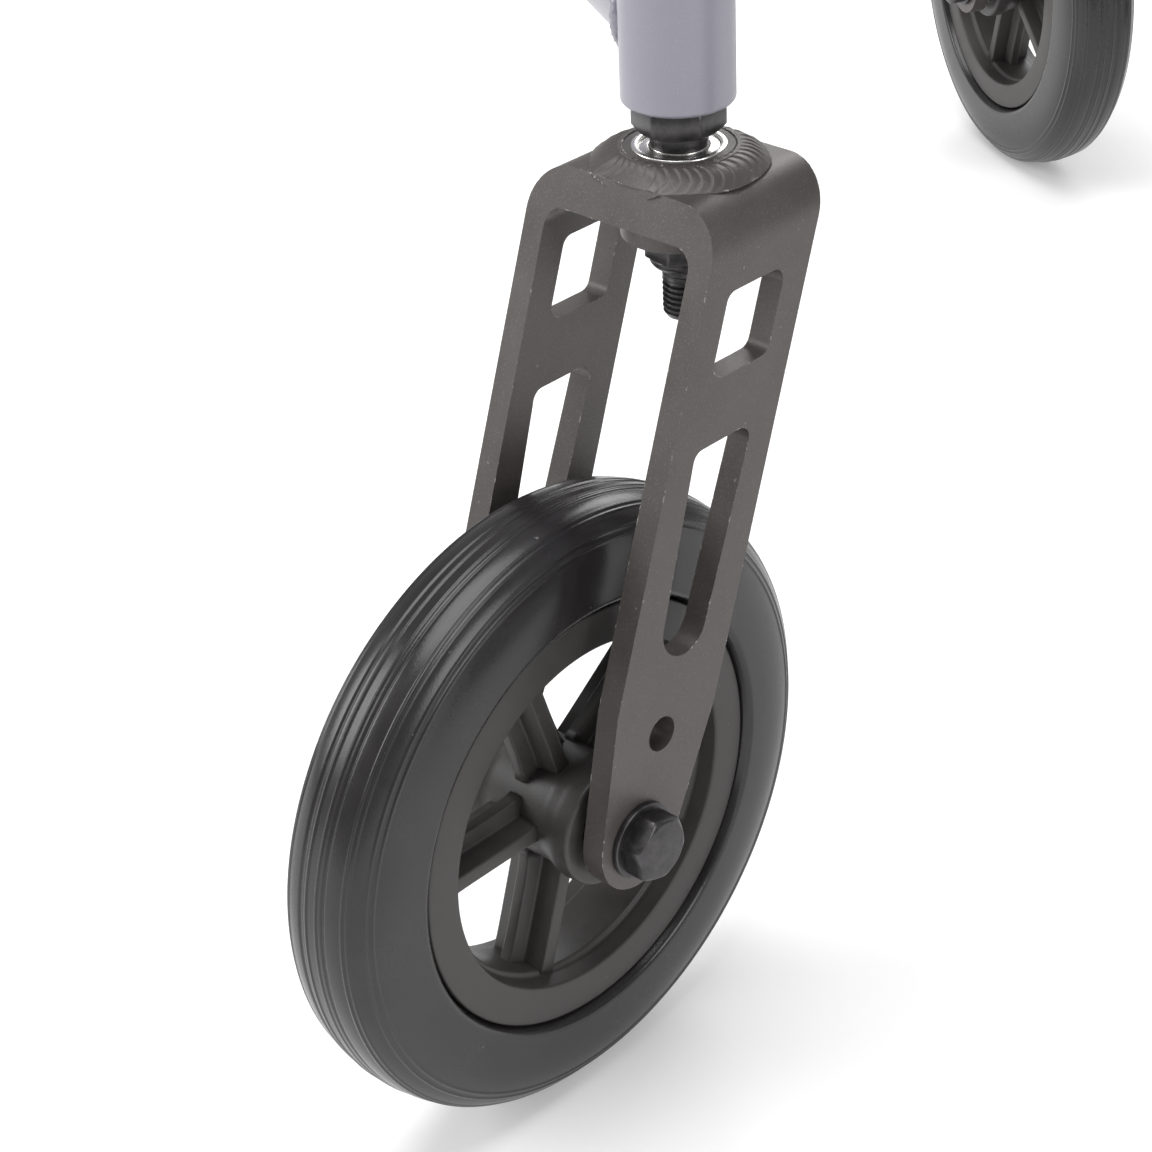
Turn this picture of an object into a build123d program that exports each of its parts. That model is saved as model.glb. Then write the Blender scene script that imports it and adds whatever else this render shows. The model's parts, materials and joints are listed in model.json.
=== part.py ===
from build123d import *
import math
import os

# Four-wheeled knee scooter. Millimetres. +Z up, forward is -Y, the rider's left is +X.
# The origin is on the floor, under the middle of the scooter.

# ---- driving dimensions ----------------------------------------------------------------
WHEEL_R = 100.0            # outside radius of the 8 inch tyres
TYRE_HALF_W = 18.6         # half the width of a tyre
BEAD_R = 71.8              # foot of the tyre's sidewall
RIM_R = 69.4               # seat of the tyre on the rim
RIM_INNER_R = 57.1         # inside radius of the rim's ring
RIM_HALF_W = 16.4          # half the width of the rim's ring
HUB_R = 18.0               # waist of the hub barrel
HUB_END_R = 20.0           # boss at each end of the hub
HUB_HALF_W = 24.0          # half the length of the hub
SPOKES = 5

TRACK_HALF = 185.0         # stem axis to the scooter's centre plane
FRONT_STEM_Y = -326.3      # swivel axes of the front casters
WHEELBASE = 668.4          # front swivel axes to the rear ones
TRAIL = 64.3               # stem axis to axle, level
FRONT_TURN = 156.26        # how far the front casters are turned outward from trailing, degrees
REAR_TURN = 36.4           # and the rear ones

BLADE_HALF_W = 22.3        # half the width of a fork blade
BLADE_END_R = 16.5         # round end of a blade, about the axle
BLADE_STRAIGHT = 41.0      # where the blade's taper to its end starts, from the axle
FORK_HALF_OUT = 35.2       # fork centre to the outside of a blade
BLADE_T = 7.7              # thickness of a blade
CROWN_T = 11.7             # thickness of the crown
CROWN_TOP = 286.5          # height of the crown's upper face
CROWN_BEND_R = 14.5        # outer bend of the crown
CROWN_INNER_R = 6.0        # inner corner of the crown
HOUSING_R = 17.7           # bearing housing in the crown
HOUSING_TOP = 291.5
HOUSING_BOTTOM = 265.0
WELD_R = 23.4              # foot of the fillet weld round the housing
WELD_STEP = 1.0            # height of bare housing above the weld
WELD_TAPER = 50.0          # lean of the weld from upright, degrees

BEARING_R = 14.0           # 6001 ball bearing: 28 x 12 x 8
BEARING_BORE = 6.0
BEARING_W = 8.0
BOLT_R = 5.9               # M12 shank
BOLT_HEX = 19.0            # M12 head and nut, across flats

LEG_R = 16.5               # leg tube
LEG_WALL = 3.0
LEG_BOTTOM = 305.0
LEG_TOP = 398.0
RAIL_R = 14.0              # side rail
RAIL_Z = 328.0
RAIL_BOW = 60.0            # how far a side rail stands outside the legs
RAIL_SPLAY = 36.4          # its lean where it leaves a leg, degrees
RAIL_BEND_R = 90.0
CROSS_R = 15.0             # front and rear cross tubes
CROSS_Z = 375.0
SPINE_R = 17.0             # tube from the front cross tube to the rear one
TUBE_WALL = 2.5

POST_R = 16.0              # post of the knee pad
POST_Y = 80.0
POST_BOTTOM = 302.0
SOCKET_WALL = 4.0
SOCKET_BOTTOM = 348.0
SOCKET_TOP = 436.0
BOARD_BOTTOM = 462.0
BOARD_T = 12.0
PAD_LENGTH = 360.0
PAD_WIDTH = 170.0
PAD_T = 52.0

PIVOT_Z = 428.0            # fold axis of the steering column
PIVOT_R = 5.0
COLUMN_R = 19.0
COLUMN_WALL = 2.5
COLUMN_TOP = 750.0
STEERER_BOTTOM = 560.0
BAR_Z = 985.0
BAR_R = 12.7
BAR_HALF = 250.0
GRIP_LENGTH = 125.0
GRIP_R = 16.5
PLATE_Z = 600.0            # middle of the basket plate
PLATE_HOLE_X = 50.0
PLATE_HOLE_Z = 40.0
PLATE_HOLE_R = 2.75

CLEAR = 0.3                # between curved faces on different bodies
FIT = 0.1                  # pins and shafts in their bores
PAST = 50.0                # how far a cutting bar runs past what it cuts

# ---- dimensions that follow ------------------------------------------------------------
REAR_STEM_Y = FRONT_STEM_Y + WHEELBASE
FORK_HALF_IN = FORK_HALF_OUT - BLADE_T
BLADE_LEAN = math.atan2(TRAIL, CROWN_TOP - WHEEL_R - 3.0)
SOCKET_BORE = POST_R + CLEAR
COLUMN_BORE = COLUMN_R - COLUMN_WALL
STEERER_R = COLUMN_BORE - CLEAR
SPACER_IN = HUB_HALF_W + CLEAR
UP = Vector(0, 0, 1)


def save(part, label):
    """Labels a finished piece and writes it."""
    part.label = label
    export_step(part, f"parts/{label}.step")


def hex_radius(across_flats):
    """Corner radius of a hexagon."""
    return across_flats / math.sqrt(3)


# ---- wheels and forks ------------------------------------------------------------------
def caster_planes(stem_x, stem_y, turn):
    """Side plane (x towards the stem, y up) and front plane (x along the axle, y up) of a fork.

    Both start on the floor under the axle. turn is the angle of the wheel about the stem:
    0 puts the wheel straight behind it, and positive turns it towards +X."""
    back = Vector(math.sin(math.radians(turn)), math.cos(math.radians(turn)), 0)
    foot = Vector(stem_x, stem_y, 0) + back * TRAIL
    to_stem = back * -1
    along_axle = to_stem.cross(UP)
    side = Plane(origin=foot, x_dir=to_stem, z_dir=along_axle)
    front = Plane(origin=foot, x_dir=along_axle, z_dir=to_stem * -1)
    return side, front


def blade_point(along, across):
    """Point of the blade in the side plane, by its distance from the axle and from its axis."""
    lean = BLADE_LEAN
    x = along * math.sin(lean) + across * math.cos(lean)
    y = WHEEL_R + along * math.cos(lean) - across * math.sin(lean)
    return (x, y)


def level_point(height, across):
    """Point of the blade in the side plane, by its height and its distance from the axis."""
    return ((height - WHEEL_R) * math.tan(BLADE_LEAN) + across / math.cos(BLADE_LEAN), height)


UPPER_WINDOW = (237.4, 262.1)      # heights of the upper window
UPPER_WINDOW_HALF_W = 11.9
SLOT_TOP = 218.0
SLOT_TOP_HALF_W = 12.0
SLOT_END_R = 9.5
SLOT_END_AT = 67.7                 # centre of the slot's round end, from the axle
SMALL_HOLE_R = 5.6
SMALL_HOLE_AT = 33.6
WINDOW_CORNER_R = 4.0


def build_fork(name, side, front):
    """Bent flat fork: a crown and two slanted blades with windows, and a housing for bearings."""
    with BuildPart() as fork:
        with BuildSketch(front):
            with Locations((0, CROWN_TOP / 2)):
                Rectangle(2 * FORK_HALF_OUT, CROWN_TOP)
            fillet(vertices().group_by(Axis.Z)[-1], CROWN_BEND_R)
            with BuildSketch(front, mode=Mode.SUBTRACT):
                with Locations((0, (CROWN_TOP - CROWN_T) / 2)):
                    Rectangle(2 * FORK_HALF_IN, CROWN_TOP - CROWN_T)
                fillet(vertices().group_by(Axis.Z)[-1], CROWN_INNER_R)
        extrude(amount=2 * TRAIL, both=True)
        with BuildSketch(side):
            Polygon(level_point(CROWN_TOP, -BLADE_HALF_W), level_point(CROWN_TOP, BLADE_HALF_W),
                    blade_point(BLADE_STRAIGHT, BLADE_HALF_W),
                    blade_point(BLADE_STRAIGHT, -BLADE_HALF_W), align=None)
            with Locations((0, WHEEL_R)):
                Circle(BLADE_END_R)
            make_hull()
        extrude(amount=FORK_HALF_OUT, both=True, mode=Mode.INTERSECT)
        with BuildSketch(side):
            low, high = UPPER_WINDOW
            half = UPPER_WINDOW_HALF_W
            Polygon(level_point(low, -half), level_point(low, half),
                    level_point(high, half), level_point(high, -half), align=None)
            fillet(vertices(), WINDOW_CORNER_R)
        extrude(amount=FORK_HALF_OUT, both=True, mode=Mode.SUBTRACT)
        with BuildSketch(side) as slot:
            with BuildLine():
                left = blade_point(SLOT_END_AT, -SLOT_END_R)
                right = blade_point(SLOT_END_AT, SLOT_END_R)
                Polyline(left, level_point(SLOT_TOP, -SLOT_TOP_HALF_W),
                         level_point(SLOT_TOP, SLOT_TOP_HALF_W), right)
                ThreePointArc(right, blade_point(SLOT_END_AT - SLOT_END_R, 0), left)
            make_face()
            fillet(vertices().group_by(Axis.Z)[-1], WINDOW_CORNER_R)
            with Locations(blade_point(SMALL_HOLE_AT, 0)):
                Circle(SMALL_HOLE_R)
            with Locations((0, WHEEL_R)):
                Circle(BOLT_R + FIT)
        extrude(amount=FORK_HALF_OUT, both=True, mode=Mode.SUBTRACT)
        with BuildSketch(Plane(origin=front.origin + front.z_dir * -TRAIL + UP * HOUSING_BOTTOM)):
            Circle(HOUSING_R)
        extrude(amount=HOUSING_TOP - HOUSING_BOTTOM)
        with BuildSketch(Plane(origin=front.origin + front.z_dir * -TRAIL + UP * CROWN_TOP)):
            Circle(WELD_R)
        extrude(amount=HOUSING_TOP - CROWN_TOP - WELD_STEP, taper=WELD_TAPER)
        with BuildSketch(Plane(origin=front.origin + front.z_dir * -TRAIL + UP * HOUSING_BOTTOM)):
            Circle(BEARING_R)
        extrude(amount=HOUSING_TOP - HOUSING_BOTTOM, mode=Mode.SUBTRACT)
    save(fork.part, name)


def bearing(plane):
    """One 6001 ball bearing as a ring with shields set back from its faces."""
    inner_race = 2.6
    outer_race = 2.0
    set_back = 0.5
    with BuildSketch(plane) as ring:
        Circle(BEARING_R)
        Circle(BEARING_BORE, mode=Mode.SUBTRACT)
    extrude(ring.sketch, amount=BEARING_W)
    for depth in (0, BEARING_W - set_back):
        with BuildSketch(plane.offset(depth)) as shield:
            Circle(BEARING_R - outer_race)
            Circle(BEARING_BORE + inner_race, mode=Mode.SUBTRACT)
        extrude(shield.sketch, amount=set_back, mode=Mode.SUBTRACT)


def build_swivel_bearings(name, stem_x, stem_y):
    """The two bearings in the crown, flush with the ends of their housing."""
    with BuildPart() as bearings:
        for bottom in (HOUSING_BOTTOM + CLEAR, HOUSING_TOP - CLEAR - BEARING_W):
            bearing(Plane(origin=(stem_x, stem_y, bottom)))
    save(bearings.part, name)


COLLAR_HEX = 24.0
COLLAR_T = 11.5
NECK_R = 8.5
PLUG_LENGTH = 24.0
STUD_END = 238.0
STUD_IN_NECK = 1.0
STUD_CHAMFER = 1.2


def build_studs(name, stems):
    """Threaded stems with their hexagon collars and the plugs that are pressed into the legs."""
    with BuildPart() as studs:
        with BuildSketch(Plane.XY.offset(STUD_END)):
            with Locations(*stems):
                Circle(BOLT_R)
        extrude(amount=HOUSING_TOP - STUD_END + STUD_IN_NECK)
        chamfer(studs.edges().group_by(Axis.Z)[0], STUD_CHAMFER)
        with BuildSketch(Plane.XY.offset(HOUSING_TOP)):
            with Locations(*stems):
                Circle(NECK_R)
        extrude(amount=LEG_BOTTOM - HOUSING_TOP)
        with BuildSketch(Plane.XY.offset(LEG_BOTTOM - COLLAR_T)):
            with Locations(*stems):
                RegularPolygon(hex_radius(COLLAR_HEX), 6)
        extrude(amount=COLLAR_T)
        with BuildSketch(Plane.XY.offset(LEG_BOTTOM)):
            with Locations(*stems):
                Circle(LEG_R - LEG_WALL)
        extrude(amount=PLUG_LENGTH)
    save(studs.part, name)


NUT_T = 10.4
NUT_COLLAR_T = 3.0
NUT_ROUND = 2.0


def build_lock_nuts(name, stems):
    """Self-locking nuts under the crowns, with their rounded collars downwards."""
    top = HOUSING_BOTTOM - CLEAR
    with BuildPart() as nuts:
        with BuildSketch(Plane.XY.offset(top - NUT_T + NUT_COLLAR_T)):
            with Locations(*stems):
                RegularPolygon(hex_radius(BOLT_HEX), 6)
        extrude(amount=NUT_T - NUT_COLLAR_T)
        with BuildSketch(Plane.XY.offset(top - NUT_T + NUT_COLLAR_T)):
            with Locations(*stems):
                Circle(BOLT_HEX / 2)
        extrude(amount=-NUT_COLLAR_T)
        fillet(nuts.edges().group_by(Axis.Z)[0], NUT_ROUND)
        with BuildSketch(Plane.XY.offset(top - NUT_T)):
            with Locations(*stems):
                Circle(BOLT_R)
        extrude(amount=NUT_T, mode=Mode.SUBTRACT)
    save(nuts.part, name)


SEAT_SET_IN = 4.5          # sidewall to the edge of the tyre's seat


def tyre_outline():
    """Upper half of the tyre's section: a superellipse from one sidewall to the other."""
    power = 3.2
    height = WHEEL_R - BEAD_R
    points = []
    for step in range(25):
        angle = math.pi * step / 24
        across = math.copysign(abs(math.cos(angle)) ** (2 / power), math.cos(angle))
        up = abs(math.sin(angle)) ** (2 / power)
        points.append((across * TYRE_HALF_W, BEAD_R + up * height))
    return points


def build_tyre(name, front):
    """Solid rubber tyre, seated on the rim."""
    axle = Plane(origin=front.origin + UP * WHEEL_R, x_dir=front.x_dir, z_dir=front.z_dir)
    with BuildPart() as tyre:
        with BuildSketch(axle):
            with BuildLine():
                outline = tyre_outline()
                Spline(*outline)
                seat = TYRE_HALF_W - SEAT_SET_IN
                Polyline(outline[0], (seat, RIM_R), (-seat, RIM_R), outline[-1])
            make_face()
        revolve(axis=Axis(axle.origin, axle.x_dir))
    save(tyre.part, name)


STEP_HALF_W = 9.0          # raised band inside the rim's ring
STEP_T = 1.6
BOSS_W = 5.0               # boss at each end of the hub, and the slope down from it
HUB_BORE = BEARING_BORE + 3.0
SPOKE_W = 17.0
SPOKE_T = 4.0
SPOKE_SINK = 1.0           # how far a spoke runs into the hub and the ring
FIRST_SPOKE = 36.0         # degrees from the way to the stem
RIB_W = 5.0
RIB_HALF = 10.0


def build_rim(name, front, side):
    """Moulded wheel centre: rim ring, five ribbed spokes and the hub barrel."""
    axle = Plane(origin=front.origin + UP * WHEEL_R, x_dir=front.x_dir, z_dir=front.z_dir)
    spoke_plane = Plane(origin=side.origin + UP * WHEEL_R, x_dir=side.x_dir, z_dir=side.z_dir)
    step_r = RIM_INNER_R - STEP_T
    waist = HUB_HALF_W - 2 * BOSS_W
    with BuildPart() as rim:
        with BuildSketch(axle):
            with BuildLine():
                Polyline((RIM_HALF_W, RIM_INNER_R), (RIM_HALF_W, RIM_R), (-RIM_HALF_W, RIM_R),
                         (-RIM_HALF_W, RIM_INNER_R), (-STEP_HALF_W, RIM_INNER_R),
                         (-STEP_HALF_W, step_r), (STEP_HALF_W, step_r),
                         (STEP_HALF_W, RIM_INNER_R), close=True)
            make_face()
            with BuildLine():
                Polyline((HUB_HALF_W, HUB_BORE), (HUB_HALF_W, HUB_END_R),
                         (HUB_HALF_W - BOSS_W, HUB_END_R), (waist, HUB_R),
                         (-waist, HUB_R), (BOSS_W - HUB_HALF_W, HUB_END_R),
                         (-HUB_HALF_W, HUB_END_R), (-HUB_HALF_W, HUB_BORE), close=True)
            make_face()
        revolve(axis=Axis(axle.origin, axle.x_dir))
        inner = HUB_R - SPOKE_SINK
        reach = step_r + SPOKE_SINK - inner
        for index in range(SPOKES):
            angle = math.radians(FIRST_SPOKE + index * 360 / SPOKES)
            middle = inner + reach / 2
            place = (middle * math.cos(angle), middle * math.sin(angle))
            for width, half in ((SPOKE_W, SPOKE_T / 2), (RIB_W, RIB_HALF)):
                with BuildSketch(spoke_plane):
                    with Locations(Location(place, math.degrees(angle))):
                        Rectangle(reach, width)
                extrude(amount=half, both=True)
        for end in (1, -1):
            face = Plane(origin=axle.origin + axle.x_dir * (end * HUB_HALF_W),
                         x_dir=UP, z_dir=axle.x_dir * -end)
            with BuildSketch(face):
                Circle(BEARING_R)
            extrude(amount=BEARING_W, mode=Mode.SUBTRACT)
    save(rim.part, name)


def build_hub_bearings(name, front):
    """The bearing in each end of the hub."""
    centre = front.origin + UP * WHEEL_R
    with BuildPart() as bearings:
        for end in (1, -1):
            start = centre + front.x_dir * (end * (HUB_HALF_W - BEARING_W))
            bearing(Plane(origin=start, x_dir=UP, z_dir=front.x_dir * end))
    save(bearings.part, name)


HEAD_T = 7.5
HEAD_TURN = 12.0           # a corner of the hexagon from upright, degrees
BOLT_PAST_NUT = 3.0
WASHER_R = 12.2
WASHER_T = 2.0
SPACER_R = 9.0
SPACER_WASHER_R = 13.0
SPACER_WASHER_T = 1.6


def axle_head(centre, outward, nut):
    """A washer against the blade and a hexagon on it."""
    seat = centre + outward * FORK_HALF_OUT
    with BuildSketch(Plane(origin=seat, x_dir=UP, z_dir=outward)) as washer:
        Circle(WASHER_R)
        if nut:
            Circle(BOLT_R, mode=Mode.SUBTRACT)
    extrude(washer.sketch, amount=WASHER_T)
    with BuildSketch(Plane(origin=seat + outward * WASHER_T, x_dir=UP, z_dir=outward)) as hexagon:
        RegularPolygon(hex_radius(BOLT_HEX), 6, rotation=HEAD_TURN)
        if nut:
            Circle(BOLT_R, mode=Mode.SUBTRACT)
    extrude(hexagon.sketch, amount=HEAD_T)


def spacer_ring(centre, outward):
    """The spacer between the hub bearing and the blade."""
    base = Plane(origin=centre + outward * SPACER_IN, x_dir=UP, z_dir=outward)
    for radius, start in ((SPACER_R, 0), (SPACER_WASHER_R, FORK_HALF_IN - SPACER_IN - SPACER_WASHER_T)):
        with BuildSketch(base.offset(start)) as ring:
            Circle(radius)
            Circle(BOLT_R, mode=Mode.SUBTRACT)
        extrude(ring.sketch, amount=FORK_HALF_IN - SPACER_IN - start)


def build_axle(names, front):
    """Axle bolt, its spacers and its nut, as one node or as three."""
    centre = front.origin + UP * WHEEL_R
    outward = front.x_dir
    with BuildPart() as bolt:
        with BuildSketch(Plane(origin=centre + outward * FORK_HALF_OUT, x_dir=UP, z_dir=outward)):
            Circle(BOLT_R)
        extrude(amount=-(2 * FORK_HALF_OUT + WASHER_T + HEAD_T + BOLT_PAST_NUT))
        axle_head(centre, outward, False)
    with BuildPart() as spacers:
        for end in (1, -1):
            spacer_ring(centre, outward * end)
    with BuildPart() as nut:
        axle_head(centre, outward * -1, True)
    if len(names) == 1:
        save(Compound(children=[bolt.part, spacers.part, nut.part]), names[0])
    else:
        save(bolt.part, names[0])
        save(spacers.part, names[1])
        save(nut.part, names[2])


def build_wheel(tag, front, side):
    """Tyre, rim and hub bearings of one wheel."""
    build_tyre(f"{tag}_tyre", front)
    build_rim(f"{tag}_rim", front, side)
    build_hub_bearings(f"{tag}_hub_bearings", front)


os.makedirs("parts", exist_ok=True)

STEMS = [(x, y) for x in (-TRACK_HALF, TRACK_HALF) for y in (FRONT_STEM_Y, REAR_STEM_Y)]
build_studs("caster_studs", STEMS)
build_lock_nuts("lock_nuts", STEMS)
for hand, sign in (("left", 1), ("right", -1)):
    for end, stem_y, turn in (("front", FRONT_STEM_Y, FRONT_TURN), ("rear", REAR_STEM_Y, REAR_TURN)):
        side, front = caster_planes(sign * TRACK_HALF, stem_y, sign * turn)
        tag = f"{end}_{hand}"
        build_fork(f"{tag}_fork", side, front)
        build_swivel_bearings(f"{tag}_swivel_bearings", sign * TRACK_HALF, stem_y)
        build_wheel(tag, front, side)
        if end == "front":
            build_axle([f"{tag}_axle_bolt", f"{tag}_axle_spacers", f"{tag}_axle_nut"], front)
        else:
            build_axle([f"{tag}_axle"], front)


# ---- frame -----------------------------------------------------------------------------
def tube(start, end, radius, wall):
    """Adds a straight tube between two points to the part in hand. A wall of 0 makes it solid."""
    run = end - start
    with BuildSketch(Plane(origin=start, z_dir=run)) as ring:
        Circle(radius)
        if wall > 0:
            Circle(radius - wall, mode=Mode.SUBTRACT)
    extrude(ring.sketch, amount=run.length)


def cut_round(start, end, radius):
    """Takes a round bar's shape between two points out of the part in hand."""
    run = end - start
    with BuildSketch(Plane(origin=start, z_dir=run)) as disc:
        Circle(radius)
    extrude(disc.sketch, amount=run.length, mode=Mode.SUBTRACT)


def block(low, high, mode=Mode.ADD):
    """Adds or takes away a box between two corners."""
    size = Vector(*high) - Vector(*low)
    middle = (Vector(*high) + Vector(*low)) / 2
    with BuildSketch(Plane(origin=(middle.X, middle.Y, low[2]))) as base:
        Rectangle(size.X, size.Y)
    extrude(base.sketch, amount=size.Z, mode=mode)


CAP_T = 3.0
CAP_LIP = 8.0
CAP_TAPER = 30.0           # degrees
LEG_ROUND = 1.5            # rounding of a leg's lower edge


def build_leg(name, x, y):
    """Upright leg tube, with its lower edge rounded."""
    with BuildPart() as leg:
        tube(Vector(x, y, LEG_BOTTOM), Vector(x, y, LEG_TOP), LEG_R, LEG_WALL)
        lower_rims = leg.edges().filter_by(GeomType.CIRCLE).group_by(Axis.Z)[0]
        fillet(lower_rims.sort_by(SortBy.RADIUS)[-1], LEG_ROUND)
    save(leg.part, name)


def build_caps(name):
    """The caps of the four leg tubes, as one group."""
    with BuildPart() as caps:
        for x in (-TRACK_HALF, TRACK_HALF):
            for y in (FRONT_STEM_Y, REAR_STEM_Y):
                bore = LEG_R - LEG_WALL
                tube(Vector(x, y, LEG_TOP - CAP_LIP), Vector(x, y, LEG_TOP), bore, 0)
                with BuildSketch(Plane(origin=(x, y, LEG_TOP))) as lid:
                    Circle(LEG_R)
                extrude(lid.sketch, amount=CAP_T, taper=CAP_TAPER)
    save(caps.part, name)


def leg_axis(x, y):
    """Two points well past the ends of a leg tube, on its axis."""
    return Vector(x, y, LEG_BOTTOM - PAST), Vector(x, y, LEG_TOP + PAST)


def build_rail(name, sign):
    """Side rail between the legs, bowed outward."""
    x = sign * TRACK_HALF
    middle_x = x + sign * RAIL_BOW
    run = RAIL_BOW / math.tan(math.radians(RAIL_SPLAY))
    with BuildPart() as rail:
        with BuildLine(Plane.XY.offset(RAIL_Z)) as path:
            FilletPolyline((x, FRONT_STEM_Y), (middle_x, FRONT_STEM_Y + run),
                           (middle_x, REAR_STEM_Y - run), (x, REAR_STEM_Y), radius=RAIL_BEND_R)
        with BuildSketch(Plane(origin=path.line @ 0, z_dir=path.line % 0)) as ring:
            Circle(RAIL_R)
            Circle(RAIL_R - TUBE_WALL, mode=Mode.SUBTRACT)
        sweep(ring.sketch, path=path.line)
        for y in (FRONT_STEM_Y, REAR_STEM_Y):
            cut_round(*leg_axis(x, y), LEG_R)
    save(rail.part, name)


PIN_R = 3.0                # cross bolts of the clamps
PIN_HEAD_R = 5.0
PIN_HEAD_T = 2.0


def build_cross_tube(name, y):
    """Cross tube between two legs."""
    with BuildPart() as cross:
        tube(Vector(-TRACK_HALF, y, CROSS_Z), Vector(TRACK_HALF, y, CROSS_Z), CROSS_R, TUBE_WALL)
        for x in (-TRACK_HALF, TRACK_HALF):
            cut_round(*leg_axis(x, y), LEG_R)
    save(cross.part, name)


SOCKET_R = SOCKET_BORE + SOCKET_WALL


def build_spine():
    """Middle tube from the front cross tube to the rear one, cut away for the post's socket."""
    with BuildPart() as spine:
        tube(Vector(0, FRONT_STEM_Y, CROSS_Z), Vector(0, REAR_STEM_Y, CROSS_Z), SPINE_R, TUBE_WALL)
        for y in (FRONT_STEM_Y, REAR_STEM_Y):
            cut_round(Vector(-PAST, y, CROSS_Z), Vector(PAST, y, CROSS_Z), CROSS_R)
        cut_round(Vector(0, POST_Y, SOCKET_BOTTOM - PAST), Vector(0, POST_Y, SOCKET_TOP), SOCKET_R)
    save(spine.part, "spine")


def build_socket():
    """Upright socket that guides the post of the knee pad."""
    with BuildPart() as socket:
        tube(Vector(0, POST_Y, SOCKET_BOTTOM), Vector(0, POST_Y, SOCKET_TOP), SOCKET_R, SOCKET_WALL)
    save(socket.part, "post_socket")


COLLAR_HEIGHT = 24.0
COLLAR_WALL = 6.0
EAR_T = 7.0
EAR_GAP = 4.0
EAR_LENGTH = 12.0
BOLT_OUT = 7.0             # cross bolt, outside the collar
BOLT_HEAD_T = 4.0
COLUMN_LEVER_X = 10.5      # inner faces of the cam levers
POST_LEVER_X = 19.5
LEVER_T = 6.0
LEVER_LENGTH = 58.0
LEVER_BOSS_R = 8.0
LEVER_W = 10.0


def build_clamp(name, lever_name, y, top, radius, lever_x):
    """Split collar round the top of a tube, with its cross bolt, and the cam lever on the bolt.

    lever_x is where the lever's inner face lies; a spacer on the bolt reaches out to it."""
    bottom = top - COLLAR_HEIGHT
    outer = radius + COLLAR_WALL
    middle = top - COLLAR_HEIGHT / 2
    pivot = Vector(lever_x, y + outer + BOLT_OUT)
    bolt_start = -EAR_GAP / 2 - EAR_T - BOLT_HEAD_T
    lever_end = pivot.X + LEVER_T + CLEAR
    with BuildPart() as collar:
        with BuildSketch(Plane(origin=(0, y, bottom))):
            Circle(outer)
            with Locations((0, outer)):
                Rectangle(EAR_GAP + 2 * EAR_T, 2 * EAR_LENGTH)
            Circle(radius, mode=Mode.SUBTRACT)
            with Locations((0, outer)):
                Rectangle(EAR_GAP, 2 * radius, mode=Mode.SUBTRACT)
        extrude(amount=COLLAR_HEIGHT)
        tube(Vector(bolt_start, pivot.Y, middle), Vector(lever_end, pivot.Y, middle), PIN_R, 0)
        tube(Vector(EAR_GAP / 2 + EAR_T, pivot.Y, middle),
             Vector(pivot.X - CLEAR, pivot.Y, middle), PIN_HEAD_R, 0)
        tube(Vector(bolt_start, pivot.Y, middle),
             Vector(bolt_start + BOLT_HEAD_T, pivot.Y, middle), PIN_HEAD_R, 0)
        tube(Vector(lever_end, pivot.Y, middle),
             Vector(lever_end + PIN_HEAD_T, pivot.Y, middle), PIN_HEAD_R, 0)
    save(collar.part, name)
    with BuildPart() as lever:
        with BuildSketch(Plane(origin=(pivot.X, pivot.Y, middle), x_dir=(0, 1, 0), z_dir=(1, 0, 0))):
            Circle(LEVER_BOSS_R)
            with Locations((0, -LEVER_LENGTH / 2)):
                SlotOverall(LEVER_LENGTH, LEVER_W, rotation=90)
            Circle(PIN_R + FIT, mode=Mode.SUBTRACT)
        extrude(amount=LEVER_T)
    save(lever.part, lever_name)


FLANGE_T = 5.0
FLANGE_EDGE = 13.0         # screw to the flange's edge
FLANGE_CORNER_R = 12.0
SCREW_X = 64.0             # spacing of the screws under the board
SCREW_Y = 92.0
SCREW_R = 3.0
SCREW_DEPTH = 9.0
SCREW_HEAD_R = 5.5
SCREW_HEAD_T = 3.0
BOARD_SET_IN = 6.0         # cushion's edge to the board's
BOARD_CORNER_R = 40.0
BOARD_ROUND = 3.0
PAD_TOP_ROUND = 16.0
PAD_FOOT_ROUND = 4.0


def build_post():
    """Post of the knee pad, closed at its foot, with the flange under the board."""
    with BuildPart() as post:
        tube(Vector(0, POST_Y, POST_BOTTOM), Vector(0, POST_Y, BOARD_BOTTOM), POST_R, TUBE_WALL)
        with BuildSketch(Plane(origin=(0, POST_Y, BOARD_BOTTOM - FLANGE_T))) as flange:
            RectangleRounded(SCREW_X + 2 * FLANGE_EDGE, SCREW_Y + 2 * FLANGE_EDGE, FLANGE_CORNER_R)
            with GridLocations(SCREW_X, SCREW_Y, 2, 2):
                Circle(SCREW_R, mode=Mode.SUBTRACT)
        extrude(flange.sketch, amount=FLANGE_T)
        with BuildSketch(Plane(origin=(0, POST_Y, POST_BOTTOM))):
            Circle(POST_R)
        extrude(amount=TUBE_WALL)
    save(post.part, "pad_post")


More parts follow.
